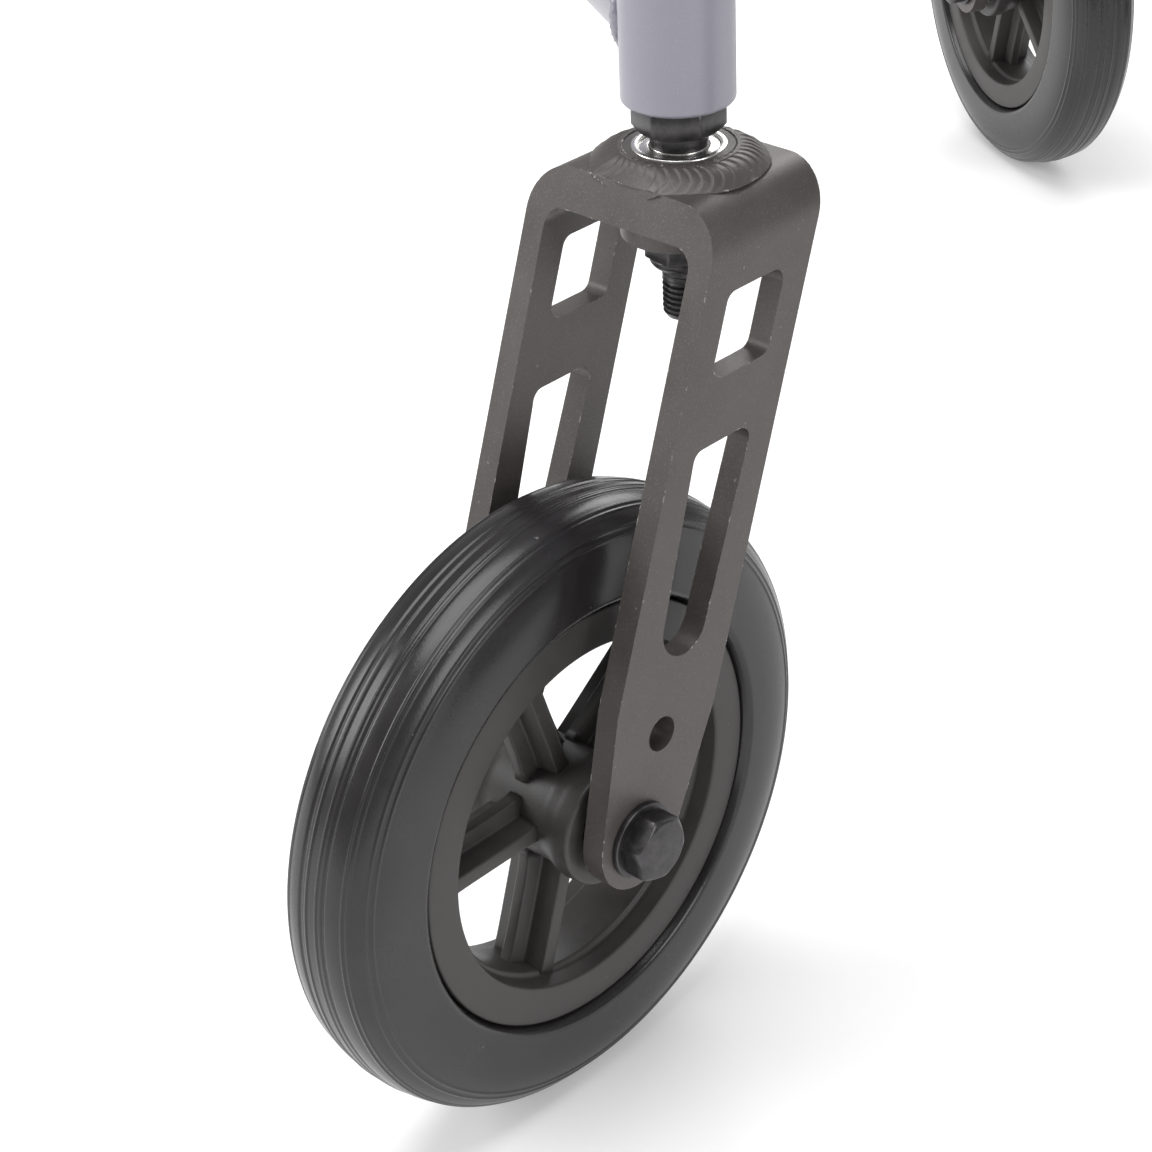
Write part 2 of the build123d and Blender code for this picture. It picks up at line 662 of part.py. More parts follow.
def build_pad():
    """Board of the knee pad, the cushion on it, and the four screws through the flange."""
    with BuildPart() as board:
        with BuildSketch(Plane(origin=(0, POST_Y, BOARD_BOTTOM))):
            RectangleRounded(PAD_WIDTH - 2 * BOARD_SET_IN, PAD_LENGTH - 2 * BOARD_SET_IN,
                             BOARD_CORNER_R)
        extrude(amount=BOARD_T)
        fillet(board.edges().group_by(Axis.Z)[0], BOARD_ROUND)
        with BuildSketch(Plane(origin=(0, POST_Y, BOARD_BOTTOM))) as holes:
            with GridLocations(SCREW_X, SCREW_Y, 2, 2):
                Circle(SCREW_R)
        extrude(holes.sketch, amount=SCREW_DEPTH, mode=Mode.SUBTRACT)
    save(board.part, "pad_board")
    with BuildPart() as cushion:
        with BuildSketch(Plane(origin=(0, POST_Y, BOARD_BOTTOM + BOARD_T))):
            RectangleRounded(PAD_WIDTH, PAD_LENGTH, BOARD_CORNER_R + BOARD_SET_IN)
        extrude(amount=PAD_T)
        fillet(cushion.edges().group_by(Axis.Z)[-1], PAD_TOP_ROUND)
        fillet(cushion.edges().group_by(Axis.Z)[0], PAD_FOOT_ROUND)
    save(cushion.part, "pad_cushion")
    with BuildPart() as screws:
        with BuildSketch(Plane(origin=(0, POST_Y, BOARD_BOTTOM - FLANGE_T))) as heads:
            with GridLocations(SCREW_X, SCREW_Y, 2, 2):
                Circle(SCREW_HEAD_R)
        extrude(heads.sketch, amount=-SCREW_HEAD_T)
        with BuildSketch(Plane(origin=(0, POST_Y, BOARD_BOTTOM - FLANGE_T))) as shanks:
            with GridLocations(SCREW_X, SCREW_Y, 2, 2):
                Circle(SCREW_R)
        extrude(shanks.sketch, amount=FLANGE_T + SCREW_DEPTH)
    save(screws.part, "pad_screws")


# ---- folding steering column -----------------------------------------------------------
KNUCKLE_HALF_W = COLUMN_R + 1.0
EAR_HALF_IN = KNUCKLE_HALF_W + CLEAR
HINGE_EAR_T = 6.0
HINGE_BASE_TOP = 402.0
HINGE_EAR_R = 17.0
HINGE_HEAD_R = 9.0         # head of the pivot bolt
HINGE_HEAD_T = 4.0
HINGE_NUT_R = 8.0
HINGE_NUT_T = 3.0
HINGE_LEVER_R = 10.0
HINGE_LEVER_W = 11.0
LEVER_PLAY = 0.5           # lever to ear, and lever to nut


def build_hinge_base():
    """Fork-shaped base on the front cross tube, with the two ears of the fold."""
    half = EAR_HALF_IN + HINGE_EAR_T
    with BuildPart() as base:
        block((-half, FRONT_STEM_Y - HINGE_EAR_R, CROSS_Z),
              (half, FRONT_STEM_Y + HINGE_EAR_R, HINGE_BASE_TOP))
        with BuildSketch(Plane(origin=(0, FRONT_STEM_Y, 0), x_dir=(0, 1, 0), z_dir=(1, 0, 0))):
            with Locations((0, (HINGE_BASE_TOP + PIVOT_Z) / 2)):
                Rectangle(2 * HINGE_EAR_R, PIVOT_Z - HINGE_BASE_TOP)
            with Locations((0, PIVOT_Z)):
                Circle(HINGE_EAR_R)
        extrude(amount=half, both=True)
        block((-EAR_HALF_IN, FRONT_STEM_Y - PAST, HINGE_BASE_TOP),
              (EAR_HALF_IN, FRONT_STEM_Y + PAST, PIVOT_Z + PAST), Mode.SUBTRACT)
        cut_round(Vector(-PAST, FRONT_STEM_Y, PIVOT_Z), Vector(PAST, FRONT_STEM_Y, PIVOT_Z), PIVOT_R)
        cut_round(Vector(-PAST, FRONT_STEM_Y, CROSS_Z), Vector(PAST, FRONT_STEM_Y, CROSS_Z), CROSS_R)
        cut_round(Vector(0, FRONT_STEM_Y, CROSS_Z), Vector(0, FRONT_STEM_Y + PAST, CROSS_Z), SPINE_R)
    save(base.part, "hinge_base")


def build_hinge_pin():
    """Pivot bolt of the fold, with its head on the left and a longer end for the lever."""
    half = EAR_HALF_IN + HINGE_EAR_T
    end = half + LEVER_T + 2 * LEVER_PLAY
    with BuildPart() as pin:
        tube(Vector(-half, FRONT_STEM_Y, PIVOT_Z), Vector(end, FRONT_STEM_Y, PIVOT_Z), PIVOT_R, 0)
        tube(Vector(-half - HINGE_HEAD_T, FRONT_STEM_Y, PIVOT_Z),
             Vector(-half, FRONT_STEM_Y, PIVOT_Z), HINGE_HEAD_R, 0)
        tube(Vector(end, FRONT_STEM_Y, PIVOT_Z),
             Vector(end + HINGE_NUT_T, FRONT_STEM_Y, PIVOT_Z), HINGE_NUT_R, 0)
    save(pin.part, "hinge_pin")


def build_hinge_lever():
    """Lever that tightens the fold's pivot bolt."""
    half = EAR_HALF_IN + HINGE_EAR_T
    with BuildPart() as lever:
        with BuildSketch(Plane(origin=(half + LEVER_PLAY, FRONT_STEM_Y, PIVOT_Z),
                               x_dir=(0, 1, 0), z_dir=(1, 0, 0))):
            Circle(HINGE_LEVER_R)
            with Locations((0, LEVER_LENGTH / 2)):
                SlotOverall(LEVER_LENGTH, HINGE_LEVER_W, rotation=90)
            Circle(PIVOT_R + FIT, mode=Mode.SUBTRACT)
        extrude(amount=LEVER_T)
    save(lever.part, "hinge_lever")


PLATE_T = 5.0
PLATE_GAP = 6.0            # column to the basket plate
PLATE_EDGE = 9.0           # hole to the plate's edge
PLATE_CORNER_R = 6.0
STAND_HALF_W = 12.0        # block between the column and the plate
STAND_HALF_H = 22.0
KNUCKLE_PLUG = 8.0         # solid tube above the knuckle


def build_column():
    """Lower column tube with its hinge knuckle and the plate for a basket."""
    plate_y = FRONT_STEM_Y - COLUMN_R - PLATE_GAP
    with BuildPart() as column:
        tube(Vector(0, FRONT_STEM_Y, PIVOT_Z), Vector(0, FRONT_STEM_Y, COLUMN_TOP), COLUMN_R,
             COLUMN_WALL)
        tube(Vector(-KNUCKLE_HALF_W, FRONT_STEM_Y, PIVOT_Z),
             Vector(KNUCKLE_HALF_W, FRONT_STEM_Y, PIVOT_Z), COLUMN_R, 0)
        cut_round(Vector(-PAST, FRONT_STEM_Y, PIVOT_Z), Vector(PAST, FRONT_STEM_Y, PIVOT_Z),
                  PIVOT_R + FIT)
        block((-STAND_HALF_W, plate_y, PLATE_Z - STAND_HALF_H),
              (STAND_HALF_W, FRONT_STEM_Y - COLUMN_BORE - 0.5, PLATE_Z + STAND_HALF_H))
        cut_round(Vector(0, FRONT_STEM_Y, PIVOT_Z + COLUMN_R + KNUCKLE_PLUG),
                  Vector(0, FRONT_STEM_Y, COLUMN_TOP), COLUMN_BORE)
        with BuildSketch(Plane(origin=(0, plate_y, PLATE_Z), x_dir=(1, 0, 0), z_dir=(0, -1, 0))) as plate:
            RectangleRounded(PLATE_HOLE_X + 2 * PLATE_EDGE, PLATE_HOLE_Z + 2 * PLATE_EDGE,
                             PLATE_CORNER_R)
            with GridLocations(PLATE_HOLE_X, PLATE_HOLE_Z, 2, 2):
                Circle(PLATE_HOLE_R, mode=Mode.SUBTRACT)
        extrude(plate.sketch, amount=PLATE_T)
    save(column.part, "column_tube")


def build_steerer():
    """Height tube that slides in the column, and the handlebar welded across its top."""
    with BuildPart() as steerer:
        tube(Vector(0, FRONT_STEM_Y, STEERER_BOTTOM), Vector(0, FRONT_STEM_Y, BAR_Z), STEERER_R,
             TUBE_WALL)
        cut_round(Vector(-PAST, FRONT_STEM_Y, BAR_Z), Vector(PAST, FRONT_STEM_Y, BAR_Z), BAR_R)
    save(steerer.part, "steerer_tube")
    with BuildPart() as bar:
        tube(Vector(-BAR_HALF, FRONT_STEM_Y, BAR_Z), Vector(BAR_HALF, FRONT_STEM_Y, BAR_Z), BAR_R,
             TUBE_WALL)
    save(bar.part, "handlebar")


GRIP_END_T = 5.0
GRIP_ROUND = 3.0


def build_grip(name, sign):
    """Closed-end grip on one end of the handlebar."""
    outer = BAR_HALF + GRIP_END_T
    with BuildPart() as grip:
        tube(Vector(sign * (BAR_HALF - GRIP_LENGTH), FRONT_STEM_Y, BAR_Z),
             Vector(sign * outer, FRONT_STEM_Y, BAR_Z), GRIP_R, 0)
        fillet(grip.edges().filter_by(GeomType.CIRCLE), GRIP_ROUND)
        cut_round(Vector(sign * (BAR_HALF - GRIP_LENGTH - PAST), FRONT_STEM_Y, BAR_Z),
                  Vector(sign * BAR_HALF, FRONT_STEM_Y, BAR_Z), BAR_R)
    save(grip.part, name)


for hand, sign in (("left", 1), ("right", -1)):
    build_leg(f"front_{hand}_leg", sign * TRACK_HALF, FRONT_STEM_Y)
    build_leg(f"rear_{hand}_leg", sign * TRACK_HALF, REAR_STEM_Y)
    build_rail(f"{hand}_rail", sign)
    build_grip(f"{hand}_grip", sign)
build_caps("leg_caps")
build_cross_tube("front_cross_tube", FRONT_STEM_Y)
build_cross_tube("rear_cross_tube", REAR_STEM_Y)
build_spine()
build_socket()
build_clamp("post_clamp", "post_clamp_lever", POST_Y, SOCKET_TOP, SOCKET_R, POST_LEVER_X)
build_post()
build_pad()
build_hinge_base()
build_hinge_pin()
build_hinge_lever()
build_column()
build_clamp("column_clamp", "column_clamp_lever", FRONT_STEM_Y, COLUMN_TOP, COLUMN_R,
            COLUMN_LEVER_X)
build_steerer()
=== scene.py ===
"""Looks of a four-wheeled knee scooter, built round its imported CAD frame. Everything is in metres.

A new piece is a surface worked out as arrays: an outline of (along, radius) points turned about an axle,
a section carried along a line, or a sheet whose height is a formula of its two parameters. Pieces whose
CAD shape is already right are merged copies of it with their edges eased.
"""

import json
import math

import bmesh
import bpy
import numpy as np
from mathutils import Matrix, Vector


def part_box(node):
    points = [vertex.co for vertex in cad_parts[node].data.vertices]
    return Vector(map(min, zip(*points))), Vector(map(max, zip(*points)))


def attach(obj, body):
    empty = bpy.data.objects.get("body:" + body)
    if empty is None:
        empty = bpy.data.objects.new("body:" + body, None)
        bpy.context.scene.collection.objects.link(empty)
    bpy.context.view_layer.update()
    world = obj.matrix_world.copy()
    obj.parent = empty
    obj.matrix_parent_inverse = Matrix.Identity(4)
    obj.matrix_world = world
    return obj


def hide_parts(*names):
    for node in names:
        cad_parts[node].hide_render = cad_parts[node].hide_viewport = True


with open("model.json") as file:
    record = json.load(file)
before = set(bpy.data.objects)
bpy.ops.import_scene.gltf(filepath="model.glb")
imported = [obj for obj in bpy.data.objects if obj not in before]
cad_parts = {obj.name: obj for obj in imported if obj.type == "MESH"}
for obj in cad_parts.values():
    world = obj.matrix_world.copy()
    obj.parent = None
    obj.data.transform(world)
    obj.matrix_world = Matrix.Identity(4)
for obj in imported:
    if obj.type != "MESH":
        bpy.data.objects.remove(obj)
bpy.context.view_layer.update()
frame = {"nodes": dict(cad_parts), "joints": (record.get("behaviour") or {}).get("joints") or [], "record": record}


# ---- Wheel places ----------------------------------------------------------------------
# Each wheel turns about its joint's axis. A place is the wheel's centre and three directions:
# along the axle, level towards the stem, and up.
MM = 0.001
UP = np.array([0.0, 0.0, 1.0])


class Place:
    """Carries points from a piece's own axes into the scooter's."""

    def __init__(self, centre, along, up=UP):
        """along is the first axis; the second is up crossed with it."""
        self.centre = np.array(centre, float)
        self.along = np.array(along, float) / np.linalg.norm(along)
        self.up = np.array(up, float)
        self.level = np.cross(self.up, self.along)

    def points(self, local):
        """Local x, y, z in millimetres to metres in the scooter's frame."""
        x, y, z = local[..., 0:1], local[..., 1:2], local[..., 2:3]
        return self.centre + MM * (x * self.along + y * self.level + z * self.up)


joints = {joint["name"]: joint for joint in frame["joints"]}
wheels = {}
for tag in ("front_left", "front_right", "rear_left", "rear_right"):
    joint = joints[f"{tag}_wheel_spin"]
    wheels[tag] = Place(joint["pos_m"], joint["axis"])


# ---- Tyres -----------------------------------------------------------------------------
# Solid rubber tyres, moulded in one piece. A pair of fine ribs runs round the crown between two
# grooves, two more pairs mark each shoulder, and the sidewall ends in a thin lip at the rim.
def skin(name, sheets):
    """One closed mesh from grids of points, rows by columns by 3.

    Columns always close on themselves. Rows close too, or each end row closes on its middle point."""
    points, corners, totals = [], [], []
    start = 0
    for grid, rows_close in sheets:
        rows, columns = grid.shape[:2]
        ids = start + np.arange(rows * columns).reshape(rows, columns)
        points.append(grid.reshape(-1, 3))
        start += rows * columns
        here, there = (ids, np.roll(ids, -1, 0)) if rows_close else (ids[:-1], ids[1:])
        quads = np.stack([here, np.roll(here, -1, 1), np.roll(there, -1, 1), there], -1)
        corners.append(quads.reshape(-1))
        totals.append(np.full(quads.shape[0] * quads.shape[1], 4))
        if not rows_close:
            for row in (0, rows - 1):
                points.append(grid[row].mean(0, keepdims=True))
                middle = np.full(columns, start)
                start += 1
                fan = np.stack([ids[row], np.roll(ids[row], -1), middle], -1)
                corners.append(fan.reshape(-1))
                totals.append(np.full(columns, 3))
    points, corners, totals = np.concatenate(points), np.concatenate(corners), np.concatenate(totals)
    mesh = bpy.data.meshes.new(name)
    mesh.vertices.add(len(points))
    mesh.vertices.foreach_set("co", points.astype(np.float32).ravel())
    mesh.loops.add(len(corners))
    mesh.loops.foreach_set("vertex_index", corners.astype(np.int32))
    mesh.polygons.add(len(totals))
    mesh.polygons.foreach_set("loop_start", np.concatenate([[0], np.cumsum(totals)[:-1]]).astype(np.int32))
    mesh.update(calc_edges=True)
    outward = bmesh.new()
    outward.from_mesh(mesh)
    bmesh.ops.recalc_face_normals(outward, faces=outward.faces)
    outward.to_mesh(mesh)
    outward.free()
    mesh.polygons.foreach_set("use_smooth", np.ones(len(mesh.polygons), bool))
    piece = bpy.data.objects.new(name, mesh)
    bpy.context.scene.collection.objects.link(piece)
    return piece


def turned(outline, columns):
    """Turns an outline of (along, radius) points about the x axis."""
    angle = np.linspace(0, 2 * np.pi, columns, endpoint=False)
    along, radius = outline[:, 0:1], outline[:, 1:2]
    return np.stack([along + 0 * angle, radius * np.cos(angle), radius * np.sin(angle)], -1)


def keep(piece, body, material, slot, *nodes):
    """Gives a finished piece its body and its material, and hides the nodes it stands for. The slot is not used.
    """
    piece.data.materials.clear()
    piece.data.materials.append(material)
    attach(piece, body)
    if nodes:
        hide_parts(*nodes)
    return piece


def even(outline, count):
    """The same outline with its points evenly spaced along it."""
    steps = np.hypot(*np.diff(outline, axis=0).T)
    run = np.concatenate([[0], np.cumsum(steps)])
    at = np.linspace(0, run[-1], count)
    return np.stack([np.interp(at, run, outline[:, 0]), np.interp(at, run, outline[:, 1])], -1), at


def tyre_outline():
    """Superellipse over the tread, |x/w|^p + |(r-r0)/h|^p = 1, then ribs set out along its length.

    A rib is a bell curve added along the outline's normal, and a groove is one taken away."""
    half_width, foot, crown, power = 18.6, 71.8, 100.0, 3.2
    turn = np.linspace(0, np.pi, 2000)
    across = np.sign(np.cos(turn)) * np.abs(np.cos(turn)) ** (2 / power) * half_width
    radius = foot + np.abs(np.sin(turn)) ** (2 / power) * (crown - foot)
    outline, run = even(np.stack([across, radius], -1), 340)
    slope = np.gradient(outline, run, axis=0)
    normal = np.stack([slope[:, 1], -slope[:, 0]], -1)
    normal /= np.linalg.norm(normal, axis=1, keepdims=True)
    middle = run[-1] / 2
    crown_side = outline[: len(run) // 2 + 1]
    relief = np.zeros(len(run))
    lip_height = 73.0
    for at, height, width in ((2.05, 0.38, 0.42), (4.6, -0.42, 0.55), (10.8, 0.34, 0.36),
                              (12.1, 0.30, 0.36), (15.55, 0.34, 0.38), (16.5, 0.36, 0.42)):
        place = np.interp(-at, -crown_side[:, 0], run[: len(run) // 2 + 1])
        offset = np.abs(run - middle) - (middle - place)
        relief += height * np.exp(-(offset / width) ** 2)
    outline = outline + normal * relief[:, None]
    lip = np.array([(-18.6, 72.6), (-18.2, 71.5), (-17.4, 70.9), (-16.2, 70.5), (-14.1, 69.4),
                    (14.1, 69.4), (16.2, 70.5), (17.4, 70.9), (18.2, 71.5), (18.6, 72.6)])
    outline = outline[outline[:, 1] > lip_height]
    return np.concatenate([outline, lip])


def noise(tree, scale, detail=3.0, rough=0.5, stretch=None):
    """Noise on the piece's own coordinates, per metre."""
    where = tree.nodes.new("ShaderNodeTexCoord").outputs["Object"]
    if stretch:
        mapping = tree.nodes.new("ShaderNodeMapping")
        mapping.inputs["Scale"].default_value = stretch
        tree.links.new(where, mapping.inputs["Vector"])
        where = mapping.outputs["Vector"]
    node = tree.nodes.new("ShaderNodeTexNoise")
    node.inputs["Scale"].default_value = scale
    node.inputs["Detail"].default_value = detail
    node.inputs["Roughness"].default_value = rough
    tree.links.new(where, node.inputs["Vector"])
    return node.outputs["Fac"]


def ramp(tree, value, stops):
    """Colour ramp over a value; stops are (place, colour)."""
    node = tree.nodes.new("ShaderNodeValToRGB")
    while len(node.color_ramp.elements) < len(stops):
        node.color_ramp.elements.new(0.5)
    for element, (place, colour) in zip(node.color_ramp.elements, stops):
        element.position = place
        element.color = (*colour, 1.0)
    tree.links.new(value, node.inputs["Fac"])
    return node.outputs["Color"]


def spread(tree, value, low, high, start=0.3, stop=0.7):
    """Maps a value from start..stop to low..high."""
    node = tree.nodes.new("ShaderNodeMapRange")
    node.inputs["From Min"].default_value = start
    node.inputs["From Max"].default_value = stop
    node.inputs["To Min"].default_value = low
    node.inputs["To Max"].default_value = high
    tree.links.new(value, node.inputs["Value"])
    return node.outputs["Result"]


def bump(tree, shader, value, depth, below=None):
    """Raises the surface by a value times a depth in metres."""
    node = tree.nodes.new("ShaderNodeBump")
    node.inputs["Strength"].default_value = 1.0
    node.inputs["Distance"].default_value = depth
    tree.links.new(value, node.inputs["Height"])
    if below:
        tree.links.new(below, node.inputs["Normal"])
    tree.links.new(node.outputs["Normal"], shader.inputs["Normal"])
    return node.outputs["Normal"]


def over(tree, amount, under, top):
    """Lays one colour over another by an amount."""
    node = tree.nodes.new("ShaderNodeMix")
    node.data_type = "RGBA"
    tree.links.new(amount, node.inputs[0])
    for socket, colour in ((node.inputs[6], under), (node.inputs[7], top)):
        if isinstance(colour, tuple):
            socket.default_value = (*colour, 1.0)
        else:
            tree.links.new(colour, socket)
    return node.outputs[2]


def new_material(name):
    """An empty material with its shader."""
    material = bpy.data.materials.new(name)
    material.use_nodes = True
    return material, material.node_tree, material.node_tree.nodes["Principled BSDF"]


def tyre_rubber():
    """Black rubber with a soft bloom, a few pale specks of dust and a very fine moulded grain."""
    material, tree, shader = new_material("tyre_rubber")
    cloud = noise(tree, 38.0, 4.0, 0.6)
    bloom = ramp(tree, cloud, [(0.30, (0.012, 0.011, 0.012)), (0.70, (0.021, 0.019, 0.020))])
    dust = noise(tree, 420.0, 2.0, 0.5)
    speck = spread(tree, dust, 0.0, 0.35, 0.765, 0.82)
    tree.links.new(over(tree, speck, bloom, (0.42, 0.40, 0.40)), shader.inputs["Base Color"])
    tree.links.new(spread(tree, cloud, 0.20, 0.31), shader.inputs["Roughness"])
    bump(tree, shader, noise(tree, 1500.0, 2.0), 0.00003)
    return material


rubber = tyre_rubber()
tyre_surface = turned(tyre_outline(), 240)
for tag, place in wheels.items():
    tyre = skin(f"{tag}_tyre_ribbed", [(place.points(tyre_surface), True)])
    keep(tyre, f"{tag}_wheel", rubber, "tyre", f"{tag}_tyre")


# ---- Rims ------------------------------------------------------------------------------
# Glass-filled nylon wheel centres, moulded in one shot: a ring with a stepped inner wall, a long hub
# barrel that flares to a boss at each end, and five spokes with a raised rib along the middle.
def rounded(outline, radius, steps=4):
    """Rounds each corner of a closed outline by an arc-like quadratic of the given reach."""
    before, after = np.roll(outline, 1, 0), np.roll(outline, -1, 0)
    result = []
    for corner, back, on in zip(outline, before, after):
        reach_back = min(radius, 0.45 * np.linalg.norm(back - corner))
        reach_on = min(radius, 0.45 * np.linalg.norm(on - corner))
        first = corner + (back - corner) / np.linalg.norm(back - corner) * reach_back
        last = corner + (on - corner) / np.linalg.norm(on - corner) * reach_on
        t = np.linspace(0, 1, steps)[:, None]
        result.append((1 - t) ** 2 * first + 2 * t * (1 - t) * corner + t ** 2 * last)
    return np.concatenate(result)


def spoke_grid(angle):
    """A plus-shaped section carried from the hub to the ring, widened at both ends by its draft,
    which is one plus a small share of the fourth power of the distance from the middle."""
    half = np.array([(2.5, 10.4), (3.1, 2.8), (8.4, 2.1), (8.4, -2.1), (3.1, -2.8), (2.5, -10.4)])
    section = rounded(np.concatenate([half, -half]), 0.7)
    reach = np.linspace(16.5, 57.0, 15)
    swell = 1 + 0.16 * ((reach - 36) / 20) ** 4
    across = section[None, :, 0] * swell[:, None]
    deep = section[None, :, 1] * np.ones_like(swell)[:, None]
    out = reach[:, None] + 0 * across
    level = out * math.cos(angle) - across * math.sin(angle)
    up = out * math.sin(angle) + across * math.cos(angle)
    return np.stack([deep, level, up], -1)


def rim_sheets():
    """The ring, the hub and the spokes, each a closed surface."""
    ring = np.array([(16.4, 57.1), (16.4, 69.4), (-16.4, 69.4), (-16.4, 57.1), (-10, 56.3), (-9.4, 54.6),
                     (9.4, 54.6), (10, 56.3)])
    hub = np.array([(24, 9.5), (24, 20), (17.5, 20.2), (12, 18.2), (-12, 18.2), (-17.5, 20.2), (-24, 20),
                    (-24, 9.5)])
    sheets = [(turned(rounded(ring, 0.9), 160), True), (turned(rounded(hub, 1.6, 6), 96), True)]
    spokes, first = 5, 36
    for index in range(spokes):
        sheets.append((spoke_grid(math.radians(first + 360 / spokes * index)), False))
    return sheets


def moulded_nylon():
    """Charcoal nylon, matt and a little cloudy, with a spark-eroded grain and pale dust specks."""
    material, tree, shader = new_material("moulded_nylon")
    cloud = noise(tree, 55.0, 4.0, 0.6)
    base = ramp(tree, cloud, [(0.30, (0.034, 0.031, 0.030)), (0.72, (0.050, 0.046, 0.044))])
    speck = spread(tree, noise(tree, 520.0, 2.0, 0.5), 0.0, 0.3, 0.765, 0.82)
    tree.links.new(over(tree, speck, base, (0.45, 0.43, 0.42)), shader.inputs["Base Color"])
    tree.links.new(spread(tree, cloud, 0.42, 0.55), shader.inputs["Roughness"])
    bump(tree, shader, noise(tree, 2200.0, 2.0), 0.00005)
    return material


nylon = moulded_nylon()
for tag, place in wheels.items():
    rim = skin(f"{tag}_rim_moulding", [(place.points(grid), close) for grid, close in rim_sheets()])
    keep(rim, f"{tag}_wheel", nylon, "wheel_plastic", f"{tag}_rim")


# ---- Ball bearings ---------------------------------------------------------------------
# Sealed 28 mm ball bearings: a ground outer race, a shield pressed in a little below it, and the
# inner race. There is one in each end of a hub and one in each end of a caster's stem housing.
def bearing_outlines(start, way):
    """Outer race, shield and inner race as closed outlines, from a face at start going way."""
    outer = np.array([(0, 11.9), (0, 14.0), (8, 14.0), (8, 11.9), (6.8, 11.9), (6.8, 11.2), (1.2, 11.2),
                      (1.2, 11.9)])
    shield = np.array([(0.55, 8.9), (0.8, 11.7), (1.5, 11.7), (1.5, 8.9)])
    inner = np.array([(0.2, 6.0), (0.2, 8.6), (7.8, 8.6), (7.8, 6.0)])
    back = shield * (-1, 1) + (8, 0)
    outlines = [rounded(outer, 0.55), rounded(shield, 0.15), rounded(back, 0.15), rounded(inner, 0.35)]
    return [outline * (way, 1) + (start, 0) for outline in outlines]


def ground_steel():
    """Bright ground steel with fine lay lines and faint smudges."""
    material, tree, shader = new_material("ground_steel")
    smudge = noise(tree, 160.0, 3.0)
    base = ramp(tree, smudge, [(0.3, (0.70, 0.69, 0.67)), (0.7, (0.86, 0.85, 0.83))])
    tree.links.new(base, shader.inputs["Base Color"])
    shader.inputs["Metallic"].default_value = 1.0
    tree.links.new(spread(tree, smudge, 0.16, 0.30), shader.inputs["Roughness"])
    bump(tree, shader, noise(tree, 3000.0, 1.0), 0.00001)
    return material


steel = ground_steel()
HUB_END, STANDS_PROUD = 24.0, 0.7
for tag, place in wheels.items():
    sheets = []
    for way in (1, -1):
        for outline in bearing_outlines(HUB_END * way, -way):
            sheets.append((place.points(turned(outline, 64)), True))
    races = skin(f"{tag}_hub_races", sheets)
    keep(races, f"{tag}_wheel", steel, "bearing_steel", f"{tag}_hub_bearings")
for tag in wheels:
    low, high = (np.array(corner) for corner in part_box(f"{tag}_swivel_bearings"))
    housing = Place(((low[0] + high[0]) / 2, (low[1] + high[1]) / 2, 0), UP, np.array([0.0, 1.0, 0.0]))
    sheets = []
    for start, way in ((high[2] / MM + STANDS_PROUD, -1), (low[2] / MM, 1)):
        for outline in bearing_outlines(start, way):
            sheets.append((housing.points(turned(outline, 72)), True))
    races = skin(f"{tag}_swivel_races", sheets)
    keep(races, f"{tag}_caster", steel, "bearing_steel", f"{tag}_swivel_bearings")


# ---- Forks -----------------------------------------------------------------------------
# Bent from thick aluminium plate, their windows and slots milled, then coated satin black. The
# edges are eased by tumbling, and the coat is chipped to bare metal here and there along them.
def eased(node, width):
    """A merged copy of a CAD node with its edges rounded by a width in millimetres."""
    name, sharp = f"{node}_eased", math.radians(32)
    mesh = frame["nodes"][node].data.copy()
    mesh.name = name
    merged = bmesh.new()
    merged.from_mesh(mesh)
    bmesh.ops.remove_doubles(merged, verts=merged.verts, dist=2e-6)
    bmesh.ops.join_triangles(merged, faces=merged.faces, angle_face_threshold=math.radians(0.5),
                             angle_shape_threshold=math.radians(180))
    for edge in merged.edges:
        edge.smooth = len(edge.link_faces) == 2 and edge.calc_face_angle() < sharp
    for face in merged.faces:
        face.smooth = True
    merged.to_mesh(mesh)
    merged.free()
    piece = bpy.data.objects.new(name, mesh)
    bpy.context.scene.collection.objects.link(piece)
    bevel = piece.modifiers.new("eased", "BEVEL")
    bevel.width = width * MM
    bevel.segments = 3
    bevel.limit_method = "ANGLE"
    bevel.angle_limit = sharp
    bevel.harden_normals = True
    return piece


def edge_amount(tree, radius, start, stop):
    """How near a sharp edge the surface is: the bevelled normal leaves the true one there."""
    soft = tree.nodes.new("ShaderNodeBevel")
    soft.samples = 6
    soft.inputs["Radius"].default_value = radius
    plain = tree.nodes.new("ShaderNodeNewGeometry")
    dot = tree.nodes.new("ShaderNodeVectorMath")
    dot.operation = "DOT_PRODUCT"
    tree.links.new(soft.outputs["Normal"], dot.inputs[0])
    tree.links.new(plain.outputs["True Normal"], dot.inputs[1])
    return spread(tree, dot.outputs["Value"], 1.0, 0.0, start, stop)


def times(tree, first, second):
    """Product of two values."""
    node = tree.nodes.new("ShaderNodeMath")
    node.operation = "MULTIPLY"
    tree.links.new(first, node.inputs[0])
    tree.links.new(second, node.inputs[1])
    return node.outputs["Value"]


